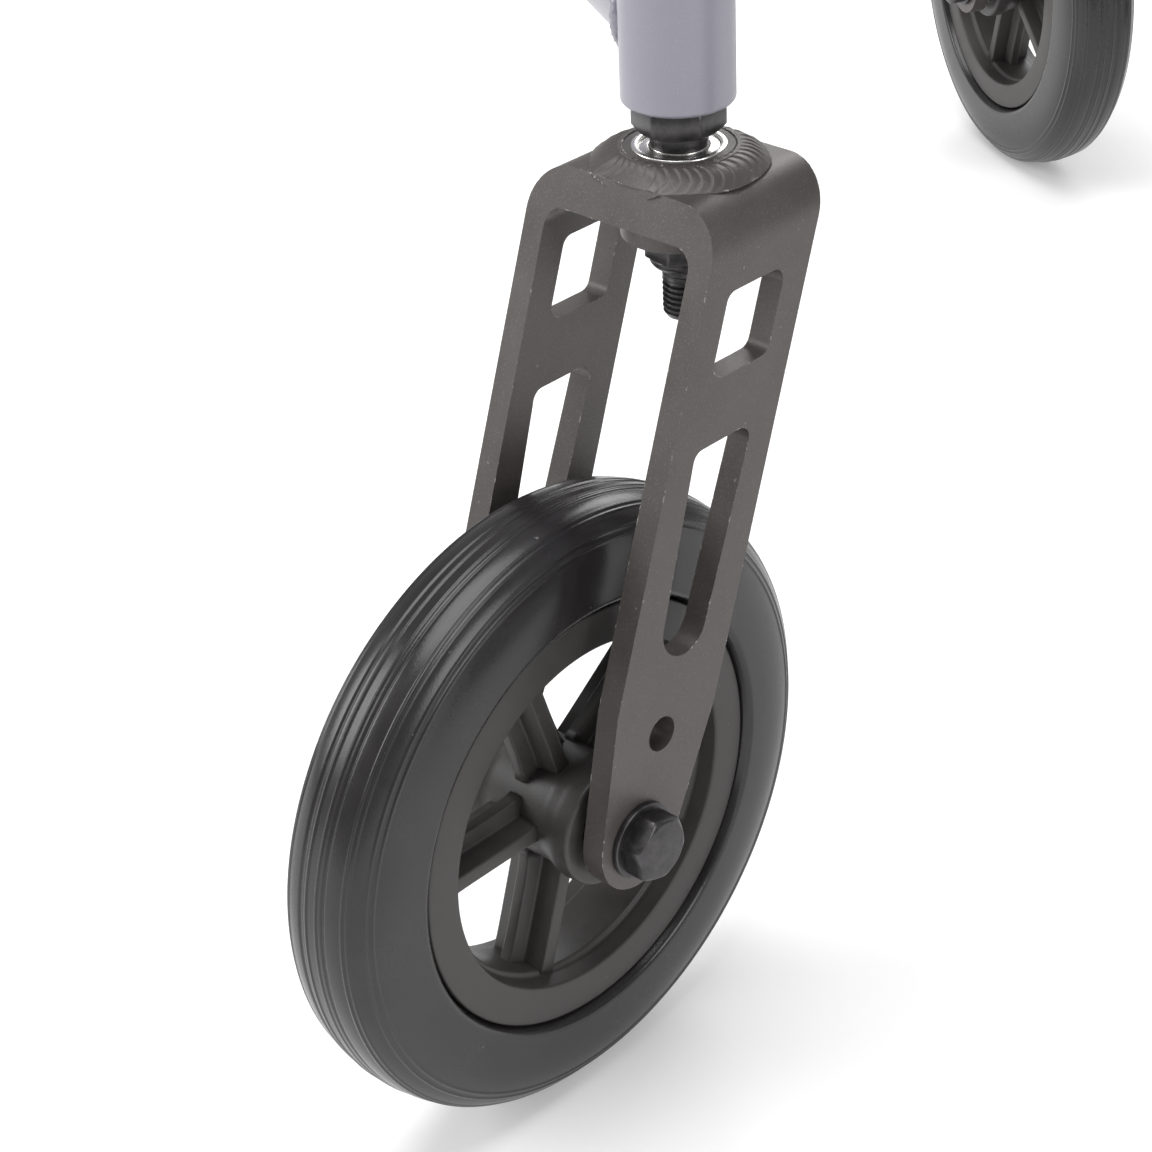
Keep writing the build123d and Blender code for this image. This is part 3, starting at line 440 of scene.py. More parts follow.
def satin_black():
    """Warm satin black coat with a fine even grain, pale dust, and bright chips along the edges."""
    material, tree, shader = new_material("satin_black_coat")
    cloud = noise(tree, 45.0, 5.0, 0.6)
    base = ramp(tree, cloud, [(0.28, (0.074, 0.065, 0.062)), (0.72, (0.098, 0.087, 0.083))])
    grain = noise(tree, 1700.0, 2.0, 0.7)
    fleck = spread(tree, grain, 0.0, 0.55, 0.56, 0.76)
    base = over(tree, fleck, base, (0.19, 0.175, 0.17))
    dust = spread(tree, noise(tree, 330.0, 1.0, 0.4), 0.0, 0.35, 0.785, 0.82)
    base = over(tree, dust, base, (0.42, 0.40, 0.39))
    edge = edge_amount(tree, 0.0010, 0.70, 0.93)
    chip = times(tree, edge, spread(tree, noise(tree, 240.0, 5.0, 0.8), 0.0, 1.0, 0.565, 0.63))
    tree.links.new(over(tree, chip, base, (0.70, 0.68, 0.66)), shader.inputs["Base Color"])
    tree.links.new(spread(tree, cloud, 0.36, 0.46), shader.inputs["Roughness"])
    shader.inputs["Metallic"].default_value = 0.25
    bump(tree, shader, grain, 0.00006)
    return material


black_coat = satin_black()
for tag in wheels:
    keep(eased(f"{tag}_fork", 0.9), f"{tag}_caster", black_coat, "fork_black", f"{tag}_fork")


# ---- Welds of the stem housings --------------------------------------------------------
# The bearing housing is welded into the crown by hand: one fillet of overlapping crescent ripples
# all the way round, a little uneven, that laps over the crown's front and back edges.
def ripples(angle, across, count, seed):
    """Height of a stack of crescents: a saw whose phase leads in the middle of the bead."""
    rng = np.random.default_rng(seed)
    waver = sum(rng.uniform(0.1, 0.35) * np.sin(k * angle + rng.uniform(0, 6.3)) for k in (2, 3, 5))
    phase = count * angle / (2 * np.pi) + waver - 1.2 * (2 * across - 1) ** 2
    saw = phase - np.floor(phase)
    return np.where(saw < 0.82, (saw / 0.82) ** 0.7, (1 - saw) / 0.18)


def crown_weld(place, seed):
    """A ring whose section is a long fillet, from the housing's lip down to the crown."""
    rng = np.random.default_rng(seed)
    angle = np.linspace(0, 2 * np.pi, 720, endpoint=False)[None, :]
    across = np.linspace(0, 1, 19)[:, None]
    wobble = sum(rng.uniform(0.15, 0.4) * np.sin(k * angle + rng.uniform(0, 6.3)) for k in (2, 3, 4, 7))
    fore_edge, back_edge = 24.7, 22.6
    lap = np.where(np.cos(angle) > 0, fore_edge, back_edge) / np.maximum(np.abs(np.cos(angle)), 0.2)
    foot = np.minimum(26.4 + wobble, lap + 0.9)
    drop = np.clip((26.4 + wobble - foot) / 2.6, 0, 1) * 3.4
    fillet = (1 - across) ** 1.12 + 0.16 * np.sin(np.pi * across)
    radius = 16.2 + (foot - 16.2) * across
    height = 286.25 - drop * across ** 3 + 5.35 * fillet + 0.25 * wobble * np.sin(np.pi * across)
    swell = ripples(angle, across, 41, seed) * np.sin(np.pi * np.clip(across * 0.94 + 0.05, 0, 1)) ** 0.5
    radius = radius + swell * 0.16
    height = height + swell * 0.40
    root, root_low, root_high = 17.0, 284.6, 290.6
    rows_r = np.concatenate([radius, np.full_like(angle, root), np.full_like(angle, root)])
    rows_z = np.concatenate([height, np.minimum(height[-1:] - 0.4, root_low),
                             np.full_like(angle, root_high)])
    turn = angle + 0 * rows_r
    return place.points(np.stack([rows_r * np.sin(turn), rows_r * np.cos(turn), rows_z], -1))


# A stem stands this far from its axle, on the side that the wheel's level direction points to.
TRAIL = 64.3
stems = {}
for tag, wheel in wheels.items():
    foot = wheel.centre + MM * TRAIL * wheel.level
    stems[tag] = Place((foot[0], foot[1], 0), wheel.along)
for seed, (tag, place) in enumerate(stems.items()):
    bead = skin(f"{tag}_crown_weld", [(crown_weld(place, 11 + seed), True)])
    keep(bead, f"{tag}_caster", black_coat, "fork_black")


# ---- Axle bolts, nuts, washers and spacers ---------------------------------------------
# M12 bolts of phosphated steel with 19 mm hexagons, cold forged, their corners cut by a 30 degree
# cone. A zinc-plated sleeve and a thick washer stand between each hub bearing and the fork blade.
def hexagon(start, way, flats, height, corner_at, bore=0.0):
    """A prism whose radius is the flats' half over the cosine within each sixth, cut by a cone."""
    angle = np.radians(np.linspace(0, 360, 144, endpoint=False))
    sixth = np.mod(angle - math.radians(corner_at), math.pi / 3) - math.pi / 6
    radius = np.minimum(flats / 2 / np.cos(sixth), flats / math.sqrt(3) * 0.988)
    flat_top = flats / 2 * 0.955
    cone = np.maximum(radius - flat_top, 0) * math.tan(math.radians(30))
    rows = [(radius - 0.3, 0 * angle), (radius, 0 * angle + 0.3), (radius, height - cone - 0.2),
            (radius - 0.15, height - cone), (0 * angle + flat_top, height + 0 * angle),
            (0 * angle + flat_top - 0.4, height + 0.04 + 0 * angle)]
    if bore:
        rows += [(0 * angle + bore + 0.7, height + 0 * angle), (0 * angle + bore, height - 0.8 + 0 * angle),
                 (0 * angle + bore, 0 * angle)]
    spread_r = np.stack([row[0] for row in rows])
    spread_a = start + way * np.stack([row[1] for row in rows])
    return np.stack([spread_a, spread_r * np.cos(angle), spread_r * np.sin(angle)], -1), bool(bore)


def thread(start, end, radius, pitch, columns=40, rows_a_turn=10):
    """A rod whose radius falls and rises as a triangle of (along over pitch less angle over a turn)."""
    length = abs(end - start)
    rows = int(length / pitch * rows_a_turn) + 1
    along = np.linspace(0, length, rows)[:, None]
    angle = np.linspace(0, 2 * np.pi, columns, endpoint=False)[None, :]
    phase = np.mod(along / pitch - angle / (2 * np.pi), 1.0)
    depth = np.clip(1.25 * np.abs(2 * phase - 1) - 0.12, 0, 1) * 0.6 * pitch
    taper = np.clip((length - along) / (1.1 * pitch), 0, 1)
    reach = np.minimum(radius - depth, radius - 0.8 * pitch * (1 - taper))
    position = start + math.copysign(1, end - start) * along + 0 * angle
    return np.stack([position, reach * np.cos(angle), reach * np.sin(angle)], -1)


def sleeve(start, way, length, radius, bore, ease=0.4, columns=72):
    """A plain ring with eased edges."""
    outline = np.array([(0, bore), (0, radius), (length, radius), (length, bore)])
    return turned(rounded(outline, ease) * (way, 1) + (start, 0), columns)


def rod(start, end, radius, columns=40):
    """A plain round bar, closed at both ends."""
    return turned(np.array([(start, radius), (end, radius)]), columns)


def phosphated():
    """Phosphated steel: charcoal, slightly oily, mottled, worn brighter along the edges."""
    material, tree, shader = new_material("phosphated_steel")
    mottle = noise(tree, 260.0, 4.0, 0.65)
    base = ramp(tree, mottle, [(0.30, (0.050, 0.048, 0.050)), (0.72, (0.095, 0.091, 0.094))])
    worn = times(tree, edge_amount(tree, 0.0006, 0.75, 0.96), spread(tree, mottle, 0.15, 0.75))
    tree.links.new(over(tree, worn, base, (0.42, 0.41, 0.41)), shader.inputs["Base Color"])
    shader.inputs["Metallic"].default_value = 0.85
    tree.links.new(spread(tree, mottle, 0.30, 0.44), shader.inputs["Roughness"])
    bump(tree, shader, noise(tree, 1800.0, 2.0), 0.00003)
    return material


def zinc_plate():
    """Bright zinc with a faint yellowish passivation."""
    material, tree, shader = new_material("zinc_plate")
    cloud = noise(tree, 210.0, 3.0)
    base = ramp(tree, cloud, [(0.3, (0.52, 0.51, 0.49)), (0.7, (0.68, 0.67, 0.64))])
    tree.links.new(base, shader.inputs["Base Color"])
    shader.inputs["Metallic"].default_value = 1.0
    tree.links.new(spread(tree, cloud, 0.22, 0.36), shader.inputs["Roughness"])
    bump(tree, shader, noise(tree, 2600.0, 1.0), 0.00001)
    return material


dark_steel = phosphated()
zinc = zinc_plate()
FORK_OUT, FORK_IN, HEX_T, WASHER_T = 35.2, 27.5, 7.5, 2.0
for tag, place in wheels.items():
    seat = FORK_OUT + WASHER_T
    head, head_closed = hexagon(seat, 1, 19.0, HEX_T, 102)
    nut, nut_closed = hexagon(-seat, -1, 19.0, HEX_T, 78, bore=5.9)
    bolt_sheets = [(sleeve(FORK_OUT, 1, WASHER_T, 12.2, 5.95), True), (head, head_closed),
                   (rod(FORK_OUT + 3, -seat - 1, 5.85), False),
                   (thread(-seat - 0.5, -seat - HEX_T - 3.0, 5.85, 1.75), False)]
    nut_sheets = [(sleeve(-FORK_OUT, -1, WASHER_T, 12.2, 5.95), True), (nut, nut_closed)]
    spacer_sheets = []
    for way in (1, -1):
        spacer_sheets.append((sleeve(24.3 * way, way, 1.6, 9.0, 5.95), True))
        spacer_sheets.append((sleeve(25.7 * way, way, 1.75, 13.0, 5.95, 0.5), True))
    for kind, sheets, finish, surface in (("bolt", bolt_sheets, dark_steel, "dark_steel"),
                                          ("nut", nut_sheets, dark_steel, "dark_steel"),
                                          ("spacers", spacer_sheets, zinc, "bearing_steel")):
        piece = skin(f"{tag}_axle_{kind}_turned", [(place.points(grid), close) for grid, close in sheets])
        node = f"{tag}_axle_{kind}" if tag.startswith("front") else f"{tag}_axle"
        keep(piece, f"{tag}_caster", finish, surface, node)


# ---- Stems, collars and lock nuts ------------------------------------------------------
# M12 threaded stems, each turned from one bar with its hexagon collar, and pressed into a leg tube.
# A self-locking nut with a rounded collar and a nylon ring holds the crown up on the stem.
UPRIGHT = {tag: Place(place.centre, UP, place.along) for tag, place in stems.items()}
CROWN_UNDER, HOUSING_TOP, LEG_FOOT, PLUG = 264.7, 291.5, 305.0, 24.0
stud_sheets, nut_sheets = [], []
for place in UPRIGHT.values():
    collar, closed = hexagon(LEG_FOOT, -1, 24.0, 8.6, 8)
    shapes = [(collar, closed), (rod(HOUSING_TOP + 3, 250.0, 5.85), False),
              (thread(256.0, 238.0, 5.9, 1.75), False),
              (sleeve(HOUSING_TOP, 1, 5.6, 8.5, 5.5, 0.3), True),
              (rod(LEG_FOOT - 0.5, LEG_FOOT + PLUG, 13.45), False)]
    stud_sheets += [(place.points(grid), close) for grid, close in shapes]
    nut, closed = hexagon(CROWN_UNDER - 7.4, 1, 19.0, 7.2, 20, bore=5.95)
    ring = np.array([(0, 5.95), (0, 9.6), (-1.6, 9.45), (-3.1, 8.2), (-3.5, 7.4), (-3.2, 7.0),
                     (-3.2, 5.95)])
    nut_sheets.append((place.points(nut), closed))
    nut_sheets.append((place.points(turned(rounded(ring, 0.8) + (CROWN_UNDER - 7.2, 0), 72)), True))
keep(skin("stems_threaded", stud_sheets), "frame", dark_steel, "dark_steel", "caster_studs")
keep(skin("lock_nuts_forged", nut_sheets), "frame", dark_steel, "dark_steel", "lock_nuts")


# ---- Painted tubes of the frame --------------------------------------------------------
# Round aluminium tubes, cut to fit each other, welded, and sprayed in one satin lavender grey:
# four legs, two side rails, two cross tubes, the spine and the socket of the knee pad's post.
def lavender_paint():
    """Satin metallic grey with a hint of violet, a fine orange peel, and faint scuffs."""
    material, tree, shader = new_material("lavender_grey_paint")
    cloud = noise(tree, 16.0, 3.0)
    base = ramp(tree, cloud, [(0.3, (0.235, 0.23, 0.27)), (0.7, (0.275, 0.27, 0.315))])
    flake = spread(tree, noise(tree, 3200.0, 1.0), 0.0, 0.35, 0.60, 0.75)
    base = over(tree, flake, base, (0.42, 0.41, 0.46))
    scuff = spread(tree, noise(tree, 240.0, 5.0, 0.7), 0.0, 0.4, 0.66, 0.80)
    tree.links.new(over(tree, scuff, base, (0.18, 0.175, 0.20)), shader.inputs["Base Color"])
    shader.inputs["Metallic"].default_value = 0.35
    tree.links.new(spread(tree, cloud, 0.33, 0.42), shader.inputs["Roughness"])
    shader.inputs["Coat Weight"].default_value = 0.25
    shader.inputs["Coat Roughness"].default_value = 0.22
    bump(tree, shader, noise(tree, 420.0, 2.0), 0.00005)
    return material


def fillet_bead(start, along, way, small, large, size, seed, around=260):
    """A rippled bead where a tube of radius small runs into one of radius large along way.

    Its line is the saddle: at angle a round the small tube, the big one's wall stands at
    sqrt(large^2 - (small sin a)^2) from the big tube's axis."""
    start, along, way = np.array(start), np.array(along, float), np.array(way, float)
    third = np.cross(along, way)
    angle = np.linspace(0, 2 * np.pi, around, endpoint=False)[:, None]
    roll = np.linspace(0, 2 * np.pi, 10, endpoint=False)[None, :]
    side = small * np.sin(angle)
    out = np.sqrt(np.maximum(large ** 2 - side ** 2, 0))
    girth = size * (1 + 0.16 * ripples(angle, 0.5 + 0.5 * np.cos(roll), int(around / 10), seed))
    radial = small + girth * np.cos(roll)
    depth = out + 0.3 * size + girth * np.sin(roll)
    local = (depth[..., None] * way + (radial * np.cos(angle))[..., None] * along
             + (radial * np.sin(angle))[..., None] * third)
    return start + MM * local


paint = lavender_paint()
slots = {row["node"]: row["material_slot"] for row in frame["record"]["subparts"]}
for node in ("front_left_leg", "front_right_leg", "rear_left_leg", "rear_right_leg", "left_rail",
             "right_rail", "front_cross_tube", "rear_cross_tube", "spine", "post_socket"):
    keep(eased(node, 0.7), "frame", paint, slots[node], node)
beads = []
X, Y = np.array([1.0, 0, 0]), np.array([0, 1.0, 0])
LEG, RAIL, CROSS, SPINE, RAIL_Z, CROSS_Z = 16.5, 14.0, 15.0, 17.0, 0.328, 0.375
front_y, rear_y = stems["front_left"].centre[1], stems["rear_left"].centre[1]
splay = math.radians(36.4)     # a side rail leaves its leg this far outward
for side in (1.0, -1.0):
    for y, inward in ((front_y, 1.0), (rear_y, -1.0)):
        x = side * abs(stems["front_left"].centre[0])
        away = X * side * math.sin(splay) + Y * inward * math.cos(splay)
        beads.append((fillet_bead((x, y, RAIL_Z), UP, away, RAIL, LEG, 2.4, len(beads)), True))
        beads.append((fillet_bead((x, y, CROSS_Z), UP, X * -side, CROSS, LEG, 2.4, len(beads)), True))
beads.append((fillet_bead((0, rear_y, CROSS_Z), X, -Y, SPINE, CROSS, 2.2, len(beads)), True))
keep(skin("frame_weld_beads", beads), "frame", paint, "frame_paint")


# ---- Leg caps --------------------------------------------------------------------------
# Push-in caps of black polyethylene, one in the top of each leg tube, with a domed, lipped lid.
def soft_black(name, low, high, rough, grain, depth):
    """Black moulded plastic or rubber: two close tones, a grain of so many a metre, fine dust."""
    material, tree, shader = new_material(name)
    cloud = noise(tree, 60.0, 4.0, 0.6)
    base = ramp(tree, cloud, [(0.3, (low,) * 3), (0.7, (high,) * 3)])
    speck = spread(tree, noise(tree, 480.0, 2.0), 0.0, 0.4, 0.74, 0.80)
    tree.links.new(over(tree, speck, base, (0.40, 0.39, 0.38)), shader.inputs["Base Color"])
    tree.links.new(spread(tree, cloud, rough, rough + 0.12), shader.inputs["Roughness"])
    bump(tree, shader, noise(tree, grain, 2.0), depth)
    return material


cap_plastic = soft_black("cap_polyethylene", 0.028, 0.040, 0.38, 1400.0, 0.00005)
cap_sheets = []
lid = np.array([(396.4, 0.2), (396.4, 13.4), (398.1, 13.4), (398.1, 16.6), (398.9, 17.0), (399.6, 16.4),
                (400.6, 13.2), (401.0, 6.0), (401.05, 0.2)])
for place in UPRIGHT.values():
    cap_sheets.append((place.points(turned(rounded(lid, 0.5), 72)), True))
keep(skin("leg_caps_domed", cap_sheets), "frame", cap_plastic, "cap_plastic", "leg_caps")


# ---- Fold, clamps and cam levers -------------------------------------------------------
# Die-cast aluminium hinge base and split collars, powder coated black, with steel pins and bolts.
# The three levers are glass-filled nylon, dished along the middle for the fingers.
cast_black = satin_black()
cast_black.name = "cast_black_coat"
for node, body in (("hinge_base", "frame"), ("post_clamp", "frame"), ("column_clamp", "column")):
    keep(eased(node, 0.8), body, cast_black, slots[node], node)
keep(eased("hinge_pin", 0.5), "frame", zinc, slots["hinge_pin"], "hinge_pin")

lever_nylon = soft_black("lever_nylon", 0.020, 0.030, 0.34, 900.0, 0.00008)


def cam_lever(name, pivot, length, way_up, thick, boss, width, bore):
    """A flat lever from its boss to its tip, its outer face dished between lips.

    Reach and radius fade from the boss's to the tip's with the tanh of the angle's cosine, and each
    ring of the lever is that outline drawn in."""
    angle = np.linspace(0, 2 * np.pi, 120, endpoint=False)
    slender = 0.5 * width
    fade = 0.5 + 0.5 * np.tanh(np.cos(angle) / 0.35)
    radius = boss + (slender * 1.08 - boss) * fade
    reach = (length - slender) * fade
    rings = []
    for inset, level in ((0.0, 0.8), (0.0, thick - 1.0), (0.35, thick - 0.35), (1.0, thick), (2.1, thick),
                         (2.9, thick - 0.9), (3.6, thick - 1.2)):
        along = reach + (radius - inset) * np.cos(angle)
        across = (radius - inset) * np.sin(angle)
        rings.append(np.stack([level + 0 * angle, along, across], -1))
    inner = radius - 0.8
    foot = np.stack([0 * angle, reach + inner * np.cos(angle), inner * np.sin(angle)], -1)
    grid = np.stack([foot] + rings)
    local = np.stack([grid[..., 0], grid[..., 1] * way_up[0] - grid[..., 2] * way_up[1],
                      grid[..., 1] * way_up[1] + grid[..., 2] * way_up[0]], -1)
    return skin(name, [(np.array(pivot) + MM * local, False)])


for node, body, sign in (("column_clamp_lever", "column_lever", -1),
                         ("post_clamp_lever", "post_lever", -1), ("hinge_lever", "fold_lever", 1)):
    low, high = (np.array(corner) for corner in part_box(node))
    boss = (high[2] - low[2]) / 2 / MM
    pivot_y = high[1] - boss * MM if sign < 0 else low[1] + boss * MM
    pivot = (low[0], pivot_y, (low[2] + high[2]) / 2)
    length = (high[1] - low[1]) / MM - boss
    lever = cam_lever(f"{node}_dished", pivot, length, (sign, 0), (high[0] - low[0]) / MM, boss, 10.5, 3.1)
    keep(lever, body, lever_nylon, slots[node], node)


# ---- Steering column, basket plate, height tube and handlebar --------------------------
# The column and its welded plate are painted like the frame. The height tube and the bar that is
# welded across its top are brushed, clear-lacquered tube with a weld round the joint.
def brushed_tube():
    """Lacquered aluminium, brushed round the tube: streaks that are short along it."""
    material, tree, shader = new_material("brushed_lacquered_tube")
    streak = noise(tree, 60.0, 5.0, 0.7, stretch=(1.0, 1.0, 18.0))
    base = ramp(tree, streak, [(0.3, (0.50, 0.50, 0.51)), (0.7, (0.64, 0.64, 0.65))])
    tree.links.new(base, shader.inputs["Base Color"])
    shader.inputs["Metallic"].default_value = 1.0
    tree.links.new(spread(tree, streak, 0.24, 0.36), shader.inputs["Roughness"])
    shader.inputs["Coat Weight"].default_value = 0.3
    shader.inputs["Coat Roughness"].default_value = 0.12
    bump(tree, shader, streak, 0.00003)
    return material


brushed = brushed_tube()
keep(eased("column_tube", 0.6), "column", paint, slots["column_tube"], "column_tube")
keep(eased("steerer_tube", 0.5), "steerer", brushed, slots["steerer_tube"], "steerer_tube")
keep(eased("handlebar", 0.4), "steerer", brushed, slots["handlebar"], "handlebar")
low, high = (np.array(corner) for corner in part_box("handlebar"))
bar_y, bar_z = (low[1] + high[1]) / 2, (low[2] + high[2]) / 2
bar_bead = fillet_bead((0, bar_y, bar_z), X, -UP, 16.2, 12.7, 1.9, 5)
keep(skin("handlebar_weld_bead", [(bar_bead, True)]), "steerer", brushed, slots["handlebar"])


# ---- Grips -----------------------------------------------------------------------------
# Closed-end handlebar grips of soft rubber: a flange at the inner end, then rings of shallow ribs
# broken into blocks round the palm's side, and a domed end.
def grip_surface():
    """Radius over along and angle: ribs of a rounded square wave, faded out in two smooth bands."""
    length, radius = 130.0, 16.2
    along = np.linspace(0, length, 300)
    angle = np.linspace(0, 2 * np.pi, 96, endpoint=False)
    wave = np.tanh(3.5 * np.sin(2 * np.pi * along / 5.2)) * 0.5 + 0.5
    ribbed = ((along > 12) & (along < 112)).astype(float)
    blocks = np.tanh(4 * (np.cos(12 * angle) + 0.75)) * 0.5 + 0.5
    reach = radius - 0.9 + 0.9 * ribbed[:, None] * wave[:, None] * (0.35 + 0.65 * blocks[None, :])
    reach += 0.3 * (1 - ribbed[:, None])
    flange = np.exp(-((along - 2.5) / 2.0) ** 4) * 1.1
    palm = 0.7 * np.sin(np.pi * along / length) ** 2
    end = np.sqrt(np.clip(1 - np.clip((along - (length - 6)) / 6.0, 0, 1) ** 2, 0.0004, 1))
    start = np.clip(0.93 + along / 12, 0, 1)
    reach = (reach + flange[:, None] - 0.4 + palm[:, None]) * end[:, None] * start[:, None]
    return np.stack([along[:, None] + 0 * angle, reach * np.cos(angle), reach * np.sin(angle)], -1)


grip_rubber = soft_black("grip_rubber", 0.016, 0.024, 0.52, 1800.0, 0.00006)
surface = grip_surface()
for hand, sign in (("left", 1.0), ("right", -1.0)):
    low, high = (np.array(corner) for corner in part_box(f"{hand}_grip"))
    inner_end = low[0] if sign > 0 else high[0]
    place = Place((inner_end, bar_y, bar_z), X * sign)
    grip = skin(f"{hand}_grip_ribbed", [(place.points(surface), False)])
    keep(grip, "steerer", grip_rubber, slots[f"{hand}_grip"], f"{hand}_grip")


# ---- Knee pad --------------------------------------------------------------------------
# A slab of foam in a stitched vinyl cover. The cover is sewn with piping round its upper and lower
# edges, a row of stitches beside each, and two channels across the top.
def sim_cushion(name, box_low, box_high, cap):
    """A slab whose outline is |x/a|^p + |y/b|^p = 1, drawn in by a tenth of the seventh power of the
    height, and closed by two smaller rings above and below. It is blown up a little as cloth, and no
    point moves farther than the cap in millimetres."""
    low, high = box_low / MM, box_high / MM
    middle, half = (low + high) / 2, (high - low) / 2
    angle = np.linspace(0, 2 * np.pi, 180, endpoint=False)
    power, size = 4.6, half - cap
    across = np.sign(np.cos(angle)) * np.abs(np.cos(angle)) ** (2 / power)
    along = np.sign(np.sin(angle)) * np.abs(np.sin(angle)) ** (2 / power)
    side = np.linspace(-1, 1, 17)
    level = np.concatenate([[-1, -1], side, [1, 1]])[:, None]
    share = np.concatenate([[0.3, 0.6], 1 - np.abs(side) ** 7 * 0.10, [0.6, 0.3]])[:, None]
    slab = np.stack([middle[0] + size[0] * share * across, middle[1] + size[1] * share * along,
                     middle[2] + (half[2] - cap * 0.5) * level + 0 * angle], -1)
    piece = skin(name, [(MM * slab, False)])
    remesh = piece.modifiers.new("remesh", "REMESH")
    remesh.mode = "VOXEL"
    remesh.voxel_size = 0.005
    settle(piece)
    rest = np.empty(len(piece.data.vertices) * 3)
    piece.data.vertices.foreach_get("co", rest)
    rest = rest.reshape(-1, 3)
    moved = rest
    cloth = piece.modifiers.new("cloth", "CLOTH")
    cloth.settings.use_pressure = True
    cloth.settings.uniform_pressure_force = 4.0
    cloth.settings.effector_weights.gravity = 0.0
    cloth.settings.quality = 6
    for number in range(1, 21):
        bpy.context.scene.frame_set(number)
    settle(piece)
    moved = np.empty_like(rest).ravel()
    piece.data.vertices.foreach_get("co", moved)
    moved = moved.reshape(-1, 3)
    bpy.context.scene.frame_set(1)
    step = moved - rest
    size = np.linalg.norm(step, axis=1, keepdims=True)
    step *= np.minimum(1, cap * MM / np.maximum(size, 1e-9))
    piece.data.vertices.foreach_set("co", (rest + step).astype(np.float32).ravel())
    return piece


def settle(piece):
    """Applies every modifier of a piece to its mesh."""
    graph = bpy.context.evaluated_depsgraph_get()
    mesh = bpy.data.meshes.new_from_object(piece.evaluated_get(graph))
    piece.modifiers.clear()
    piece.data = mesh


def vinyl():
    """Black upholstery vinyl: an embossed leather grain of cells with soft creases between, the creases darkened
    by painted shade.
    """
    material, tree, shader = new_material("cover_vinyl")
    where = tree.nodes.new("ShaderNodeTexCoord").outputs["Object"]
    cells = tree.nodes.new("ShaderNodeTexVoronoi")
    cells.feature = "DISTANCE_TO_EDGE"
    cells.inputs["Scale"].default_value = 620.0
    cells.inputs["Randomness"].default_value = 0.95
    tree.links.new(where, cells.inputs["Vector"])
    crease = spread(tree, cells.outputs["Distance"], 0.0, 1.0, 0.0, 0.16)
    cloud = noise(tree, 30.0, 4.0)
    base = ramp(tree, cloud, [(0.3, (0.020, 0.020, 0.022)), (0.7, (0.030, 0.030, 0.033))])
    # Painted shade: the colour goes darker towards each crease of the grain.
    tree.links.new(over(tree, crease, (0.010, 0.010, 0.011), base), shader.inputs["Base Color"])
    tree.links.new(spread(tree, cloud, 0.36, 0.46), shader.inputs["Roughness"])
    shader.inputs["Sheen Weight"].default_value = 0.08
    bump(tree, shader, crease, 0.00009)
    return material


cover_vinyl = vinyl()
pad_low, pad_high = (np.array(corner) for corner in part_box("pad_cushion"))
cushion = sim_cushion("pad_cushion_stuffed", pad_low, pad_high, 7.0)


def channels(piece, low, high):
    """Raises the top of the cover into a low dome and presses two grooves across it."""
    points = np.empty(len(piece.data.vertices) * 3)
    piece.data.vertices.foreach_get("co", points)
    points = points.reshape(-1, 3)
    middle, half = (low + high) / 2, (high - low) / 2
    top = np.clip((points[:, 2] - middle[2]) / (0.35 * half[2]), 0, 1)
    aside, along = ((points[:, axis] - middle[axis]) / half[axis] for axis in (0, 1))
    dome = (1 - aside ** 2) * (1 - along ** 4)
    lift = 0.0035 * np.clip(dome, 0, 1) * top
    for line in (-0.33, 0.33):
        apart = np.abs(points[:, 1] - (middle[1] + line * half[1])) / MM
        lift -= 0.0052 * np.exp(-(apart / 4.2) ** 1.4) * top * np.clip(dome * 2.2, 0, 1)
    points[:, 2] = np.clip(points[:, 2] + lift, low[2] + 0.0002, None)
    piece.data.vertices.foreach_set("co", points.astype(np.float32).ravel())
    piece.data.update()


channels(cushion, pad_low, pad_high)
round_off = cushion.modifiers.new("rounded", "SUBSURF")
round_off.levels = round_off.render_levels = 1
cushion.data.polygons.foreach_set("use_smooth", np.ones(len(cushion.data.polygons), bool))
keep(cushion, "knee_pad", cover_vinyl, slots["pad_cushion"], "pad_cushion")


def outline_path(piece, level, count):
    """The cover's outline at a level: the farthest point of it in each of count directions."""
    points = np.empty(len(piece.data.vertices) * 3)
    piece.data.vertices.foreach_get("co", points)
    points = points.reshape(-1, 3)
    near = points[np.abs(points[:, 2] - level) < 0.004]
    middle = (points.min(0) + points.max(0)) / 2
    turn = np.arctan2(near[:, 1] - middle[1], near[:, 0] - middle[0])
    reach = np.hypot(near[:, 1] - middle[1], near[:, 0] - middle[0])
    order = np.argsort(turn)
    at = np.linspace(-np.pi, np.pi, count, endpoint=False)
    found = np.interp(at, turn[order], reach[order], period=2 * np.pi)
    found = np.convolve(np.concatenate([found[-4:], found, found[:4]]), np.ones(5) / 5, "same")[4:-4]
    return np.stack([middle[0] + found * np.cos(at), middle[1] + found * np.sin(at), level + 0 * at], -1)


def ring_tube(path, radius, around=10, twist=0.0):
    """A closed tube of the given radius about a closed level path, wavering by a twist."""
    ahead = np.roll(path, -1, 0) - np.roll(path, 1, 0)
    ahead /= np.linalg.norm(ahead, axis=1, keepdims=True)
    outward = np.cross(ahead, UP)
    roll = np.linspace(0, 2 * np.pi, around, endpoint=False)[None, :, None]
    size = radius * (1 + twist * np.sin(np.linspace(0, 2 * np.pi * 90, len(path))))[:, None, None]
    return path[:, None] + size * (np.cos(roll) * outward[:, None] + np.sin(roll) * UP)


piping = []
for level, radius in ((pad_high[2] - 0.0135, 0.0020), (pad_low[2] + 0.0065, 0.0018)):
    path = outline_path(cushion, level, 720)
    piping.append((ring_tube(path, radius, 12), True))
keep(skin("pad_piping", piping), "knee_pad", cover_vinyl, slots["pad_cushion"])


